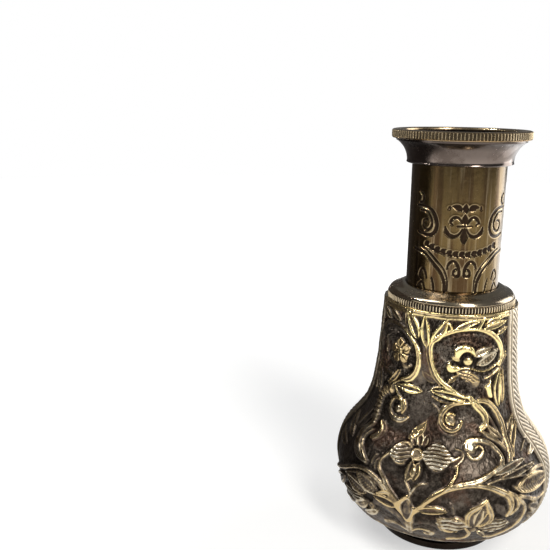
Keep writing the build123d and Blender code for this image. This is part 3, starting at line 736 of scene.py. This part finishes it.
    # heart-shaped stems round the daisy
    r.rib([(-20.4, 26.4), (-23.6, 28.2), (-26.2, 30.2), (-29, 32.2), (-32.4, 34), (-33.4, 36),
           (-32.5, 37.9), (-29.4, 40.2)], (0.9, 0.7, 0.5, 0.4, 0.35), 0.9, 0.6)
    r.rib([(-9.8, 25), (-6, 27.5), (-2, 29.8), (1.6, 31.4), (5, 33.4), (7.4, 35.4), (9.6, 37.8), (10, 39.8)],
          (0.5, 0.35, 0.4, 0.45, 0.4), 0.9, 0.8)
    r.rib([(4.6, 40.4), (8, 41.6), (12.6, 43.0)], (0.3, 0.45, 0.3), 0.7, 0.5)
    r.rib([(8, 39.4), (11.4, 41.0), (14, 42.8), (13.4, 44.4), (9.4, 45.2)], 0.3, 0.6, 0.3)

    # small left-hand scroll
    r.rib([(-41.5, 61.2), (-38, 59.2), (-33.8, 57.5), (-31.5, 55.6), (-30.4, 53.9)], (0.3, 0.45, 0.5), 0.85,
          0.8)
    r.rib([(-35.0, 57.4), (-39.6, 57.4), (-42.6, 55.6), (-42.4, 53.2), (-39.8, 51.6), (-35, 51.0),
           (-30, 51.2), (-25.4, 52.6)], (0.4, 0.6, 0.6, 0.9, 1.0, 0.5), 0.9, 0.5)
    r.rib([(-31.0, 57.6), (-29.4, 55.6), (-30.4, 53.4)], (0.5, 0.7, 0.4), 0.9, 0.6)
    r.knob((-34.8, 54.3), 1.35, 1.05, 0.25, 0.35)
    r.ribbed([(-46, 59.6), (-52, 58.2), (-56, 55.4), (-56, 52.2), (-54, 48.6)], 1.8, 1.0, 1.6, 0.4)
    r.rib([(-46.4, 48.4), (-43.8, 46.8), (-43, 45), (-44.2, 43.4), (-47, 42.2)],
          (0.3, 0.45, 0.6, 0.85, 0.6), 0.85, 0.8)
    r.rib([(-43.6, 48.6), (-40.4, 46.9), (-39.8, 45.1), (-41.8, 43.3), (-45.4, 41.6)], 0.28, 0.6, 0.3)
    r.rib([(-52, 46.4), (-55.4, 44.0), (-56.6, 41), (-55, 38.2), (-51.6, 36.0), (-47, 34.8), (-42.4, 34.3)],
          (0.6, 1.3, 1.5, 1.2, 0.6), 0.95, 0.2)
    r.rib([(-49.6, 44.4), (-51.8, 41.4), (-50.8, 38.8), (-47.6, 36.8), (-43, 35)], 0.25, 0.85, 0.5)
    r.rib([(-51.6, 48.6), (-54.4, 46.6), (-57, 44.2), (-58, 41)], (0.4, 0.5, 0.4), 0.6, 0.3)
    r.rib([(-56, 49.6), (-60.4, 46.4), (-62, 42.4)], 0.5, 0.5, 0.2)
    r.rib([(-61, 52), (-66, 47.6), (-68, 42)], 0.5, 0.5, 0.2)
    r.rib([(-38.2, 34.8), (-38.6, 36.2), (-37.2, 38)], (0.3, 0.45, 0.25), 0.6, 0.3)
    r.rib([(-35.2, 33.8), (-36.2, 35.2), (-35.4, 36.6)], (0.3, 0.45, 0.25), 0.6, 0.3)
    r.leaf((-64, 38), (-82, 45), 1.8, 0.4, veins=1.0, height=0.6, gilt=0.2)
    r.leaf((-66, 34), (-84, 37), 1.7, 0.3, veins=1.0, height=0.6, gilt=0.2)
    r.leaf((-60, 56), (-68, 66), 1.7, 0.3, veins=1.0, height=0.7, gilt=0.2)
    r.leaf((-70, 56), (-76, 66), 1.4, 0.3, height=0.6, gilt=0.2)

    # stem and bud at the foot of the panel
    r.rib([(-13.2, 14.6), (-13.2, 17.5), (-13.2, 21)], (0.9, 1.05, 1.3), 0.85, 0.45)
    r.plate([(-20.0, 26.2), (-13.6, 29.0), (-12.4, 27.4), (-9.6, 25.2), (-8.2, 24.6), (-10.2, 22.6),
             (-11.4, 20.2), (-12.4, 19.4), (-14.8, 19.6), (-17.6, 21.8), (-20.4, 23.6), (-21.4, 25.4)], 0.9,
            0.5, 0.7)
    r.hollow([(-14.0, 28.0), (-12.0, 26.4), (-11.4, 24.2), (-12.4, 22.2), (-14.2, 20.6), (-16.4, 22.6),
              (-17.4, 24.4), (-16.6, 26.4)])
    r.leaf((-14.3, 21.2), (-14.0, 27.4), 1.35, core=0.9, rib=0.0, belly=0.5, height=0.6, gilt=0.0)

    # arches springing from the stem
    r.rib([(-9, 25.2), (-4, 28.6), (0.5, 31.0), (5, 32.6), (10, 33.5), (16, 34.0), (22, 33.8), (28, 32.8),
           (33, 31.3), (36.8, 29.6), (38.8, 27.4), (38.8, 25.2), (37, 23.2)],
          (0.5, 0.75, 0.7, 0.6, 0.55, 0.7, 0.85, 1.0, 0.7), 0.95, 0.8)
    r.rib([(37, 31), (41.3, 29.2), (43.2, 27.5), (43.6, 25.8), (42, 24.2), (39.6, 23.2)],
          (0.4, 0.6, 0.7, 0.6), 0.9, 0.8)
    r.rib([(43.6, 27.8), (47.8, 25.4), (50, 22.8), (49.4, 20.2), (46.6, 17.8), (42.2, 16.2), (36.5, 14.9),
           (31, 14.0), (27.2, 14.8)], (0.5, 0.65, 0.7, 0.6, 0.5), 0.9, 0.7)
    r.rib([(43.8, 28.8), (50, 27.2), (55, 25.6), (61, 24.4), (70, 24.4)], (0.5, 0.6, 0.4), 0.9, 0.7)
    r.rib([(-20, 25.8), (-23.4, 27.2), (-26.2, 28.8), (-30, 30.1), (-35, 31.2), (-40, 31.7), (-46, 31.3),
           (-54, 29.2), (-64, 26), (-76, 23)], (0.9, 0.6, 0.5, 0.55, 0.5), 0.9, 0.6)
    r.rib([(-27, 28.0), (-31, 29.0), (-36, 30.0), (-42, 30.1), (-50, 28.6), (-58, 26.2)], 0.35, 0.6, 0.3)
    r.leaf((-19.4, 24.2), (-34, 24.9), 1.75, -0.3, rib=0.0, gilt=0.8)
    r.rib([(-31, 26.4), (-28, 27.3), (-25, 27.8), (-22, 26.8)], (0.4, 0.75, 0.6), 0.95, 0.9)
    r.rib([(-32, 22.6), (-26, 22.6), (-20.4, 21.0), (-16.8, 18.6), (-15.2, 15.8)], (1.1, 0.9, 0.8, 0.5),
          0.6, 0.15)
    r.rib([(-27.4, 15.6), (-24, 16.4), (-19.6, 16.7), (-15.2, 15.2)], (0.8, 0.6, 0.3), 0.7, 0.5)
    r.leaf((-8.8, 24.7), (6.2, 25.6), 1.55, 0.4, gilt=0.7)
    r.rib([(-10, 18.8), (-5, 20), (0, 19.4), (3, 18)], (0.5, 0.4), 0.45, 0.15)
    r.rib([(-11.4, 15.7), (-9, 17), (-5.6, 17.4), (-3, 16.8), (-1.2, 15.8), (-2.8, 15.0), (-5, 15.5)],
          (0.3, 0.4, 0.45, 0.7, 0.5), 0.75, 0.6)

    # leaves at the lower left
    r.leaf((-31, 26.6), (-47, 29.8), 2.7, 0.3, veins=1.0, core=0.45, gilt=0.4)
    r.leaf((-38, 24.4), (-56, 26.4), 2.3, 0.2, veins=1.0, core=0.5, gilt=0.5)
    r.leaf((-40, 21.6), (-60, 21.0), 2.3, 0.3, hatch=1.0, core=0.5, gilt=0.2)
    r.leaf((-37, 21.6), (-51, 16.0), 1.9, 0.3, veins=0.9, core=0.5, gilt=0.45)
    r.knob((-35, 20.6), 1.3, 0.8, 0.5, 0.6)
    r.leaf((-31, 19.6), (-43, 15.4), 1.5, 0.3, veins=0.9, core=0.5, gilt=0.4)
    r.leaf((-60, 24), (-78, 18), 2.4, 0.4, veins=1.0, height=0.7, gilt=0.25)
    r.leaf((-54, 15.6), (-72, 13.6), 1.6, 0.3, veins=1.0, height=0.6, gilt=0.25)

    # flower at the lower right
    r.leaf((17.6, 20.6), (0.6, 21.2), 2.7, -0.2, hatch=1.5, belly=0.58, height=0.85, gilt=0.3)
    r.rib([(1.2, 22.8), (2.2, 21), (3.6, 18.8), (7, 18.1), (11, 18.3)], (0.5, 0.8, 0.6, 0.35, 0.3), 0.9, 0.8)
    r.rib([(1.6, 23.2), (6, 23.1), (9, 23.6), (12, 23.3), (14.6, 22.1)], (0.3, 0.3, 0.45), 0.85, 0.6)
    r.leaf((21.8, 20.0), (39.6, 19.8), 2.9, 0.2, hatch=1.3, belly=0.5, height=0.8, gilt=0.25)
    r.plate([(15.6, 21.0), (14.6, 24.2), (16.4, 26.0), (20.6, 27.6), (25.6, 29.8), (26.6, 27.2),
             (28.4, 24.4), (27.6, 22.4), (23.6, 20.8), (19.6, 20.4)], 0.45, 0.4, 0.1)
    r.rib([(16.2, 20.8), (15.3, 23.0), (15.6, 24.8), (17.4, 26.2), (20.6, 27.5), (25.2, 29.4)],
          (0.5, 0.75, 0.7, 0.5, 0.35), 1.0, 0.9)
    r.rib([(25.0, 29.4), (25.6, 27.2), (27.2, 25.0), (27.6, 23.2), (25.2, 21.6), (21.4, 20.8)],
          (0.4, 0.9, 0.9, 0.5, 0.4), 1.0, 0.8)
    r.leaf((19.4, 20.8), (22.6, 27.4), 1.6, 0.2, rib=0.0, belly=0.5, height=0.95, gilt=0.5)
    r.rib([(25, 25.4), (22.8, 23.0), (20.2, 20.8)], 0.32, 0.9, 0.7)
    r.rib([(14.8, 20.2), (16.2, 18.8), (17.6, 17.4), (17, 15.8), (14.2, 14.4), (10, 13.9), (7.2, 13.5)],
          (0.4, 0.55, 0.5, 0.6, 0.5), 0.85, 0.8)
    r.knob((19.2, 19.2), 1.2, 0.8, 0.2, 0.3)
    r.leaf((21.4, 18.6), (27.4, 14.4), 1.0, 0.2, gilt=0.5)
    r.leaf((30, 27.4), (36.4, 22.8), 1.4, 0.3, height=0.4, gilt=0.1)
    r.leaf((53, 23.8), (66, 19.4), 1.9, 0.2, veins=1.0, height=0.75, gilt=0.4)
    r.leaf((54, 20.4), (66, 15.0), 1.6, 0.2, veins=1.0, height=0.7, gilt=0.3)
    r.rib([(6.4, 28), (8.4, 26.4), (8.6, 24.8)], 0.4, 0.45, 0.1)


SHELL_SPLIT = 50.0
RELIEF_DATUM = 0.8
PUNCH_CELLS, DENT_CELLS, SWELL_CELLS = 3.3, 8.0, 34.0


def bulb_panel(name, first, last, centre, stretch):
    """The bulb's wall between two seams: a lower piece and a neck piece, each a closed shell."""
    outline = [(21.4, 3.0), (25.8, 5.8), (30.6, 9.4), (34.4, 15.0), (36.2, 24.0), (33.6, 34.3), (27.2, 43.2),
               (24.0, 52.5), (22.4, 66.0), (21.4, 82.4)]
    low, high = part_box("body_shell")
    outline[0] = (outline[0][0], low.z / MM)
    outline[-1] = (outline[-1][0], high.z / MM)
    wall = spline(outline, 0.255)
    slope = np.gradient(wall, axis=0)
    slope /= np.hypot(*slope.T)[:, None]
    run = np.concatenate([[0], np.cumsum(np.hypot(*np.diff(wall, axis=0).T))])
    heights = NECK_TOP - run[-1] + run
    degrees = np.linspace(first, last, int((last - first) / 0.42) + 1)
    r = Relief(degrees, heights, wall[:, 0], centre, stretch, FRONT_AXIS)
    draw_panel(r)
    for seam in (first, last):
        r.feathers(seam, 9.4)
    work = blurred(r.h, 0.4)
    ground = 1 - smooth(work, 0.15, 0.5)
    # The gold fades to 62% below 46 mm: partly browner work on the lower bulb, and partly painted light that
    # keeps the neck's work brighter.
    gilt = r.gilt * (0.62 + 0.38 * smooth(heights, 46, 60)[:, None])
    work = 0.95 * work + 0.75 * blurred(work, 5.5) + 0.45 * blurred(work, 14.0)
    seed = 7 if stretch > 0 else 8
    punched = grain(work.shape, PUNCH_CELLS, seed)
    dents = grain(work.shape, DENT_CELLS, seed + 4)
    swells = grain(work.shape, SWELL_CELLS, seed + 8)
    coarse = 0.36 + 0.64 * smooth(heights, 50, 62)[:, None]
    work = work + ground * coarse * (0.13 * punched + 0.09 * dents) + 0.02 * dents + 0.06 * swells
    work = work * smooth(heights, 9.0, 10.5)[:, None]
    crest = 0.75 * (work - blurred(work, 3.2)) + 0.6 * (blurred(work, 2.5) - blurred(work, 9.0))
    offset = work - RELIEF_DATUM
    radii = wall[:, :1] + offset * slope[:, 1:]
    levels = wall[:, 1:] - offset * slope[:, :1]
    levels = np.clip(levels, low.z / MM, high.z / MM)
    inner = spline([(23.8, 6.4), (28.4, 10.6), (32.0, 16.0), (33.8, 24.0), (31.2, 33.3), (24.8, 42.5),
                    (21.7, 52.5), (20.2, 65.0)], 4.0)
    split = int(np.searchsorted(heights, SHELL_SPLIT))
    cut_inner = int(np.searchsorted(inner[:, 1], wall[split, 1]))
    join = np.array([[np.interp(wall[split, 1], inner[:, 1], inner[:, 0]), wall[split, 1]]])
    bore = np.array([[19.3, low.z / MM + 3.4], [19.3, low.z / MM]])
    rim = np.array([[18.3, high.z / MM], [18.3, 69.0]])
    sections = {
        "lower": (slice(0, split + 1), np.concatenate([join, inner[:cut_inner][::-1], bore])),
        "neck": (slice(split, len(wall)), np.concatenate([rim, inner[cut_inner:][::-1], join])),
    }
    for part, (rows, inside) in sections.items():
        flat_r = np.repeat(inside[:, :1], len(degrees), 1)
        flat_z = np.repeat(inside[:, 1:], len(degrees), 1)
        plain = np.zeros(flat_r.shape)
        fields = {
            "height": np.concatenate([work[rows], plain + 0.2]),
            "crest": np.concatenate([crest[rows], plain]),
            "gilt": np.concatenate([gilt[rows], plain]),
            "bare": np.concatenate([r.bare[rows], plain]),
        }
        piece = swept(
            f"{name}_{part}",
            degrees,
            np.concatenate([radii[rows], flat_r]),
            np.concatenate([levels[rows], flat_z]),
            closed=False,
            fields=fields,
            sharp=60.0,
        )
        add_piece(piece, BULB, "bulb", "cast_brass", "body_shell")


bulb_panel("front_panel", LEFT_SEAM, RIGHT_SEAM, FRONT_AXIS, 1.0)
BACK_STRETCH = -(360 - (RIGHT_SEAM - LEFT_SEAM)) / (RIGHT_SEAM - LEFT_SEAM)
bulb_panel("back_panel", RIGHT_SEAM, LEFT_SEAM + 360, FRONT_AXIS + 180, BACK_STRETCH)


# ---- the draw tube's engraving ----
def draw_engraving(g, top):
    """One side's engraving, read with the eyepiece down. top is the height of the arms' row."""
    # a lozenge between two long leaves, each with a bead at its tip
    g.leaf((11, top + 4.3), (11, top + 6.9), 0.9, height=0.95, core=1.0)
    for side in (-1, 1):
        g.leaf((11 + side * 4.6, top + 4.9), (11 + side * 15.4, top + 6.1), 0.95, 0.35 * side, height=0.95,
               core=1.0)
        g.leaf((11 + side * 17.6, top + 5.5), (11 + side * 20.4, top + 5.7), 0.7, belly=0.5, height=0.95,
               core=1.0)
    # palmette
    g.rib([(11, top + 0.7), (11, top + 2.2), (11, top + 3.5)], (0.25, 0.75, 0.85, 0.3), 1.0)
    g.rib([(11, top - 0.7), (11, top - 3.0), (11, top - 5.4)], (0.25, 0.6, 1.15, 0.8, 0.2), 1.0)
    g.rib([(2.5, top + 0.0), (19.5, top + 0.1)], 0.26, 1.0)
    for side in (-1, 1):
        def at(points):
            return [(11 + side * x, top + y) for x, y in points]
        g.rib(at([(2.5, 0.8), (6, 2.2), (11, 2.8), (15.6, 2.0), (16.8, 0.9), (14.6, 0.5)]),
              (0.2, 0.4, 0.4, 0.3), 1.0)
        g.rib(at([(2.5, -0.8), (6, -2.4), (12, -3.2), (17.4, -2.9), (21.4, -1.6), (22.8, -0.2)]),
              (0.2, 0.3, 0.55, 0.65, 0.2), 1.0)
        # large C scrolls
        g.rib(at([(64, 5.4), (52, 5.4), (41, 4.4), (34.4, 1.8), (33.4, -0.8), (37.4, -2.9), (46, -3.6),
                  (60, -3.0)]), (0.3, 0.5, 0.55, 0.4), 1.0)
        g.rib(at([(58, 4.0), (47.6, 3.8), (40.6, 1.8), (40.8, -0.8), (46.6, -1.9), (52.4, -0.8), (51, 1.2),
                  (46.4, 1.4)]), (0.25, 0.35, 0.3), 0.9)
        g.rib(at([(60, 9.6), (54.4, 8.6), (55.6, 6.8), (61, 6.4)]), (0.4, 0.5, 0.3), 0.9)
        # arches and small volutes
        arch = [(66, -8.6), (56, -9.0), (46, -9.9), (35, -12.2), (26, -14.6), (20.6, -17.4), (19.4, -21.8)]
        g.rib(at(arch), 0.42, 1.0)
        g.rib(at([(x - 3.2, y + 1.15) for x, y in arch[1:]]), 0.24, 0.9)
        g.rib(at([(17.4, -13.4), (14.8, -11.6), (10.6, -11.1), (6.0, -12.0), (3.2, -14.0), (4.6, -15.8),
                  (8.4, -15.8), (9.4, -14.2), (6.8, -13.6)]), (0.25, 0.45, 0.4, 0.3), 1.0)
        g.rib(at([(57, -20.6), (50, -19.0), (45, -21.2)]), (0.2, 0.4, 0.2), 0.9)
        g.rib(at([(43, -17.4), (49, -14.6), (54, -17.2), (49, -18.2)]), (0.2, 0.4, 0.2), 0.9)
        g.rib(at([(36, -17.0), (33, -20.0), (32, -22.0)]), (0.2, 0.35, 0.2), 0.9)
    # garland of separate leaves along an arc
    for k in range(-6, 7):
        x = 11 + 7.4 * k
        y = top - 8.9 + 0.00125 * (x - 11) ** 2
        g.leaf((x - 2.6, y - 0.8), (x + 2.0, y + 0.9), 0.8, 0.25, height=0.95, core=1.0)
        g.leaf((x - 0.6, y - 0.9), (x + 2.6, y - 0.5), 0.45, height=0.85, core=1.0)


def engraved_tube():
    low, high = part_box("draw_tube")
    outer = high.x / MM
    inner = outer - 0.8
    bottom, top = low.z / MM, high.z / MM
    rest_line = top_of("neck_collar")
    rows = np.arange(rest_line - 1.4, rest_line + 32.0, 0.2)
    degrees = np.arange(0, 360, 0.78) - 169.0
    radii = np.full(len(rows), outer)
    cut = np.zeros((len(rows), len(degrees)))
    for turn in (0.0, 180.0):
        around = (degrees - turn + 180.0) % 360.0 - 180.0
        order = np.argsort(around)
        g = Relief(around[order], rows, radii)
        draw_engraving(g, rest_line + 21.2)
        placed = np.zeros(cut.shape)
        placed[:, order] = g.h
        cut = np.maximum(cut, placed)
    cut = smooth(blurred(cut, 0.5), 0.02, 0.55)
    hollow = smooth(blurred(cut, 3.2), 0.62, 0.95)
    # The burr round the cuts: it is raised a little, and through the 'edge' field it is also painted lighter
    # as a highlight.
    burr_and_edge_highlight = np.clip(blurred(cut, 2.0) - cut, 0, 1) * 2.2
    depth = 0.24 * cut - 0.05 * np.clip(burr_and_edge_highlight, 0, 1) - 0.06 * hollow
    before = [(outer, bottom + 0.3), (outer, bottom + 0.45), (outer, 0.5 * (bottom + rows[0]))]
    after = [(outer, rows[-1] + 1.5), (outer, top - 0.35), (outer, top - 0.2), (outer - 0.2, top),
             (inner, top), (inner, bottom), (outer - 0.3, bottom)]
    n = len(degrees)
    before, after = (np.repeat(np.array(part)[:, None, :], n, 1) for part in (before, after))
    all_r = np.concatenate([before[..., 0], outer - depth, after[..., 0]])
    all_z = np.concatenate([before[..., 1], np.repeat(rows[:, None], n, 1), after[..., 1]])
    fields = {}
    for field, values in (("cut", cut), ("edge", burr_and_edge_highlight)):
        fields[field] = np.concatenate([np.zeros(before.shape[:2]), values, np.zeros(after.shape[:2])])
    piece = swept("engraved_draw_tube", degrees, all_r, all_z, fields=fields, sharp=55.0)
    add_piece(piece, TUBE, "draw", "tube_brass", "draw_tube")


engraved_tube()


# ---- turned pieces ----
COLLAR_TEETH = 130
RIM_TEETH = 124


def knurled(name, section, teeth, depth, band, per_tooth=8):
    """A turned ring whose outermost wall, inside band, has fine straight teeth."""
    section = np.array(section, float)
    columns = teeth * per_tooth
    degrees = np.arange(columns) * 360.0 / columns
    phase = (np.arange(columns) % per_tooth) / per_tooth
    tooth = 1 - smooth(np.abs(2 * phase - 1), 0.35, 0.85)
    radii = np.repeat(section[:, :1], columns, 1)
    heights = np.repeat(section[:, 1:], columns, 1)
    on = (section[:, 1] > band[0]) & (section[:, 1] < band[1]) & (section[:, 0] > section[:, 0].max() - 0.05)
    radii[on] -= depth * tooth[None, :]
    cut = np.zeros(radii.shape)
    cut[on] = tooth[None, :]
    rubbed = np.where(on[:, None], 1.0 - cut, 0.0)
    return swept(name, degrees, radii, heights, fields={"cut": cut, "rubbed": rubbed}, sharp=28.0)


def collar():
    low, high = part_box("neck_collar")
    outer = high.x / MM
    shell_top = high.z / MM - 5.4
    knurl_top = shell_top + 2.2
    edge = outer - 0.3
    dome = spline([(edge - 0.1, knurl_top + 0.28), (20.1, knurl_top + 0.98), (18.4, high.z / MM - 1.25),
                   (16.6, high.z / MM - 0.28), (15.95, high.z / MM - 0.03)], 0.25)
    section = [(17.9, shell_top + 0.02), (outer - 0.5, shell_top + 0.02), (outer - 0.12, shell_top + 0.12)]
    section += [(outer, shell_top + 0.2 + 0.2 * k) for k in range(9)]
    section += [(outer - 0.12, knurl_top - 0.1), (outer - 0.5, knurl_top - 0.02),
                (outer - 0.55, knurl_top + 0.08)]
    section += [(edge, knurl_top + 0.12), (edge, knurl_top + 0.22)]
    section += [tuple(p) for p in dome]
    section += [(15.3, high.z / MM), (15.17, high.z / MM - 0.1), (15.15, high.z / MM - 1.2),
                (16.6, high.z / MM - 1.2), (16.6, low.z / MM), (18.25, low.z / MM),
                (18.25, shell_top - 0.1)]
    piece = knurled("knurled_collar", section, COLLAR_TEETH, 0.42, (shell_top + 0.15, knurl_top - 0.15))
    add_piece(piece, COLLAR, "bulb", "collar_brass", "neck_collar")


def bell():
    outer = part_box("eyepiece_bell")[1].x / MM
    tube_top = top_of("draw_tube")
    skirt_bottom = tube_top - 2.0
    rim_bottom = bottom_of("eyepiece_rim")
    cove = arc((24.3, skirt_bottom + 0.7), 7.5, 180, 180 - 59.5, 30)
    section = [(15.2, skirt_bottom), (16.45, skirt_bottom), (16.8, skirt_bottom + 0.12),
               (16.95, skirt_bottom + 0.3), (16.86, skirt_bottom + 0.52)]
    section += cove[1:]
    section += [(outer, rim_bottom - 0.45), (outer, rim_bottom - 0.02), (19.0, rim_bottom),
                (19.0, rim_bottom + 2.0), (18.3, rim_bottom + 2.0), (18.3, rim_bottom - 0.3)]
    cup = spline([(18.3, rim_bottom - 0.45), (17.6, rim_bottom - 1.15), (16.4, tube_top + 3.6),
                  (14.6, tube_top + 3.05), (13.05, tube_top + 2.9)], 0.3)
    section += [tuple(p) for p in cup]
    section += [(13.0, tube_top + 0.3), (11.6, tube_top + 0.3), (11.6, tube_top - 0.3),
                (13.0, tube_top - 2.0), (13.0, tube_top - 7.0), (14.15, tube_top - 7.0),
                (14.15, tube_top - 0.05), (15.0, tube_top - 0.05), (15.0, skirt_bottom + 0.1)]
    # Painted shade: the cove darkens towards the rim, under its overhang, carried in the 'cut' field.
    dirt_and_shade = [0.5 * float(smooth(z, skirt_bottom + 2.5, rim_bottom - 0.6)) if r > 16.5 else 0.0 for r,
             z in section]
    piece = lathe("flared_eyepiece", section, 320, 32.0, dirt_and_shade)
    add_piece(piece, BELL, "draw", "bell_brass", "eyepiece_bell")


def rim():
    low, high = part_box("eyepiece_rim")
    outer = high.x / MM
    bottom, top = low.z / MM, high.z / MM
    section = [(19.05, bottom), (outer - 0.9, bottom), (outer - 0.62, bottom + 0.02),
               (outer - 0.25, bottom + 0.12), (outer - 0.18, bottom + 0.26), (outer - 0.3, bottom + 0.38),
               (outer - 0.1, bottom + 0.44)]
    section += [(outer, bottom + 0.5 + 0.18 * k) for k in range(12)]
    section += [(outer - 0.12, top - 0.34), (outer - 0.38, top - 0.12), (outer - 0.75, top - 0.01),
                (outer - 1.2, top), (20.4, top - 0.02), (19.2, top - 0.04), (18.85, top - 0.12),
                (18.55, top - 0.3), (18.4, top - 0.6), (18.4, bottom + 2.06), (19.05, bottom + 2.06)]
    piece = knurled("knurled_rim", section, RIM_TEETH, 0.36, (bottom + 0.49, top - 0.4))
    add_piece(piece, RIM, "draw", "rim_brass", "eyepiece_rim")


def foot():
    low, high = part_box("cell_bezel")
    outer = high.x / MM
    top = high.z / MM
    flange = bottom_of("body_shell") - 0.3
    corners = [(16.4, 0.0), (outer - 0.5, 0.0), (outer, 0.5), (outer, flange - 0.25),
               (outer - 0.25, flange), (19.24, flange), (19.24, top), (17.64, top), (17.64, 1.0),
               (16.4, 1.0)]
    piece = lathe("foot_bezel", rounded(corners, 0.15), 256, 32.0)
    add_piece(piece, FOOT, "cell", "dark_brass", "cell_bezel")


def lens():
    low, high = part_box("eye_lens")
    edge = high.x / MM
    flat, crown = low.z / MM, high.z / MM
    span = edge - 1.0
    rise = 1.2
    radius = (span**2 + rise**2) / (2 * rise)
    dome = [(r, crown - radius + sqrt(radius**2 - r**2)) for r in np.linspace(span, 0.02, 24)]
    section = [(0.02, flat), (edge - 0.1, flat), (edge, flat + 0.1), (edge, flat + 0.9),
               (edge - 0.1, flat + 1.0)] + dome
    piece = lathe("eye_lens_glass", section, 128, 32.0)
    add_piece(piece, LENS, "draw", "lens_glass", "eye_lens")


collar()
bell()
rim()
foot()
lens()

# ---- finishes of the carried-over pieces ----
finishes = {
    PLAIN: ("sleeve_retainer", "mirror_flange", "cell_lock_ring", "cell_spacer", "cell_retaining_ring",
            "lens_retainer"),
    STEEL: ("flange_screws", "stop_ring"),
    CARD: ("mirror_tube", "mirror_mask_lower", "mirror_mask_upper", "eye_stop"),
    FELT: ("guide_sleeve",),
    FOAM: ("mirror_packing",),
    SILVER: ("mirror_1", "mirror_2", "mirror_3"),
    FROST: ("frosted_glass",),
    CLEAR: ("clear_glass",),
    RED: ("glass_beads",),
    BLUE: ("glass_chips",),
    GREEN: ("glass_rods",),
    FOIL: ("star_sequins",),
}
for material, names in finishes.items():
    for name in names:
        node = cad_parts[name]
        node.data.materials.clear()
        node.data.materials.append(material)


# ---- floor, light and camera ----
def sheet(name, corners, light, dark, roughness, glow=None):
    """A flat studio sheet: the floor, a flag, or a card. glow(finish, tone) makes it shine."""
    mesh = bpy.data.meshes.new(name)
    mesh.from_pydata(corners, [], [tuple(range(len(corners)))])
    plane = bpy.data.objects.new(name, mesh)
    bpy.context.scene.collection.objects.link(plane)
    f = Finish(name)
    tone = f.noise(0.02, 2.0)
    if glow:
        f.done(emission_color=(1.0, 1.0, 1.0), emission_strength=glow(f, tone))
    plane.data.materials.append(f.done(base_color=f.mix(tone, dark, light), roughness=roughness))
    return plane


def floor_glow(f, tone):
    """Brighter away from the middle, so the floor fades into the backdrop."""
    distance = f.vector("LENGTH", f.mm, out="Value")
    return f.between(distance, 60.0, 500.0, 0.52, 1.0)


def card_glow(f, tone):
    return f.between(tone, 0.0, 1.0, 1.3, 1.7)


def softbox(name, place, aim, size, radiance, colour=(1, 1, 1), spread=180.0):
    light = bpy.data.lights.new(name, "AREA")
    light.shape = "RECTANGLE"
    light.size, light.size_y = size
    light.energy = radiance * pi * size[0] * size[1]
    light.color = colour
    light.spread = radians(spread)
    lamp = bpy.data.objects.new(name, light)
    bpy.context.scene.collection.objects.link(lamp)
    lamp.location = place
    lamp.rotation_mode = "QUATERNION"
    lamp.rotation_quaternion = (Vector(aim) - Vector(place)).to_track_quat("-Z", "Y")


FLOOR_RADIUS = 1.2
around = [radians(7.5 * k) for k in range(48)]
sheet("studio_floor", [(FLOOR_RADIUS * sin(a), -FLOOR_RADIUS * cos(a), 0.0) for a in around],
      (0.52, 0.52, 0.515), (0.5, 0.5, 0.495), 0.8, floor_glow)
flag = sheet("left_flag", [(-0.056, -0.033, 0.0), (-0.056, 0.22, 0.0), (-0.056, 0.22, 0.135),
                           (-0.056, -0.033, 0.135)], (0.02, 0.012, 0.01), (0.012, 0.008, 0.007), 0.7)
card = sheet("right_card", [(0.075, 0.15, 0.0), (0.15, 0.04, 0.0), (0.15, 0.04, 0.075), (0.075, 0.15, 0.075)],
             (1.0, 1.0, 1.0), (0.96, 0.96, 0.96), 0.7, card_glow)
for panel in (flag, card):
    panel.visible_camera = False
    panel.visible_diffuse = False
    panel.visible_shadow = False
softbox("key_right", (0.42, -0.56, 0.64), (0, 0, 0.06), (0.2, 0.6), 17.0, (1.0, 0.98, 0.94))
softbox("top_left", (-0.3, -0.15, 0.7), (0, 0, 0.08), (0.28, 0.38), 7.0)
softbox("left_spot", (-0.5, -0.17, 0.52), (0, 0, 0.108), (0.12, 0.06), 1.0, spread=10.0)
softbox("edge_right", (0.5, 0.34, 0.2), (0, 0, 0.06), (0.4, 0.45), 4.0)
softbox("front_strip", (-0.25, -0.19, 0.06), (0, 0, 0.07), (0.03, 0.12), 1.6)

world = bpy.data.worlds.new("studio")
bpy.context.scene.world = world
world.use_nodes = True
nodes = world.node_tree.nodes
links = world.node_tree.links
room = nodes["Background"]
room.inputs["Color"].default_value = (0.93, 0.96, 1.0, 1)
room.inputs["Strength"].default_value = 0.15
backdrop = nodes.new("ShaderNodeBackground")
backdrop.inputs["Strength"].default_value = 1.0
backdrop.inputs["Color"].default_value = (1, 1, 1, 1)
seen = nodes.new("ShaderNodeLightPath")
both = nodes.new("ShaderNodeMixShader")
links.new(seen.outputs["Is Camera Ray"], both.inputs["Fac"])
links.new(room.outputs["Background"], both.inputs[1])
links.new(backdrop.outputs["Background"], both.inputs[2])
links.new(both.outputs["Shader"], nodes["World Output"].inputs["Surface"])

camera = bpy.data.objects.new("camera", bpy.data.cameras.new("camera"))
bpy.context.scene.collection.objects.link(camera)
bpy.context.scene.camera = camera
camera.data.sensor_width = 36.0
camera.data.lens = 49.5
camera.data.clip_start = 0.01
camera.location = (0.0, -0.2531, 0.1474)
pitch, yaw, roll = radians(13.27), radians(13.5), radians(0.73)
camera.rotation_mode = "QUATERNION"
turned_to = Matrix.Rotation(yaw, 4, "Z") @ Matrix.Rotation(pi / 2 - pitch, 4, "X") @ Matrix.Rotation(roll,
                                                                                                     4, "Z")
camera.rotation_quaternion = turned_to.to_quaternion()

bpy.context.scene.view_settings.view_transform = "Standard"
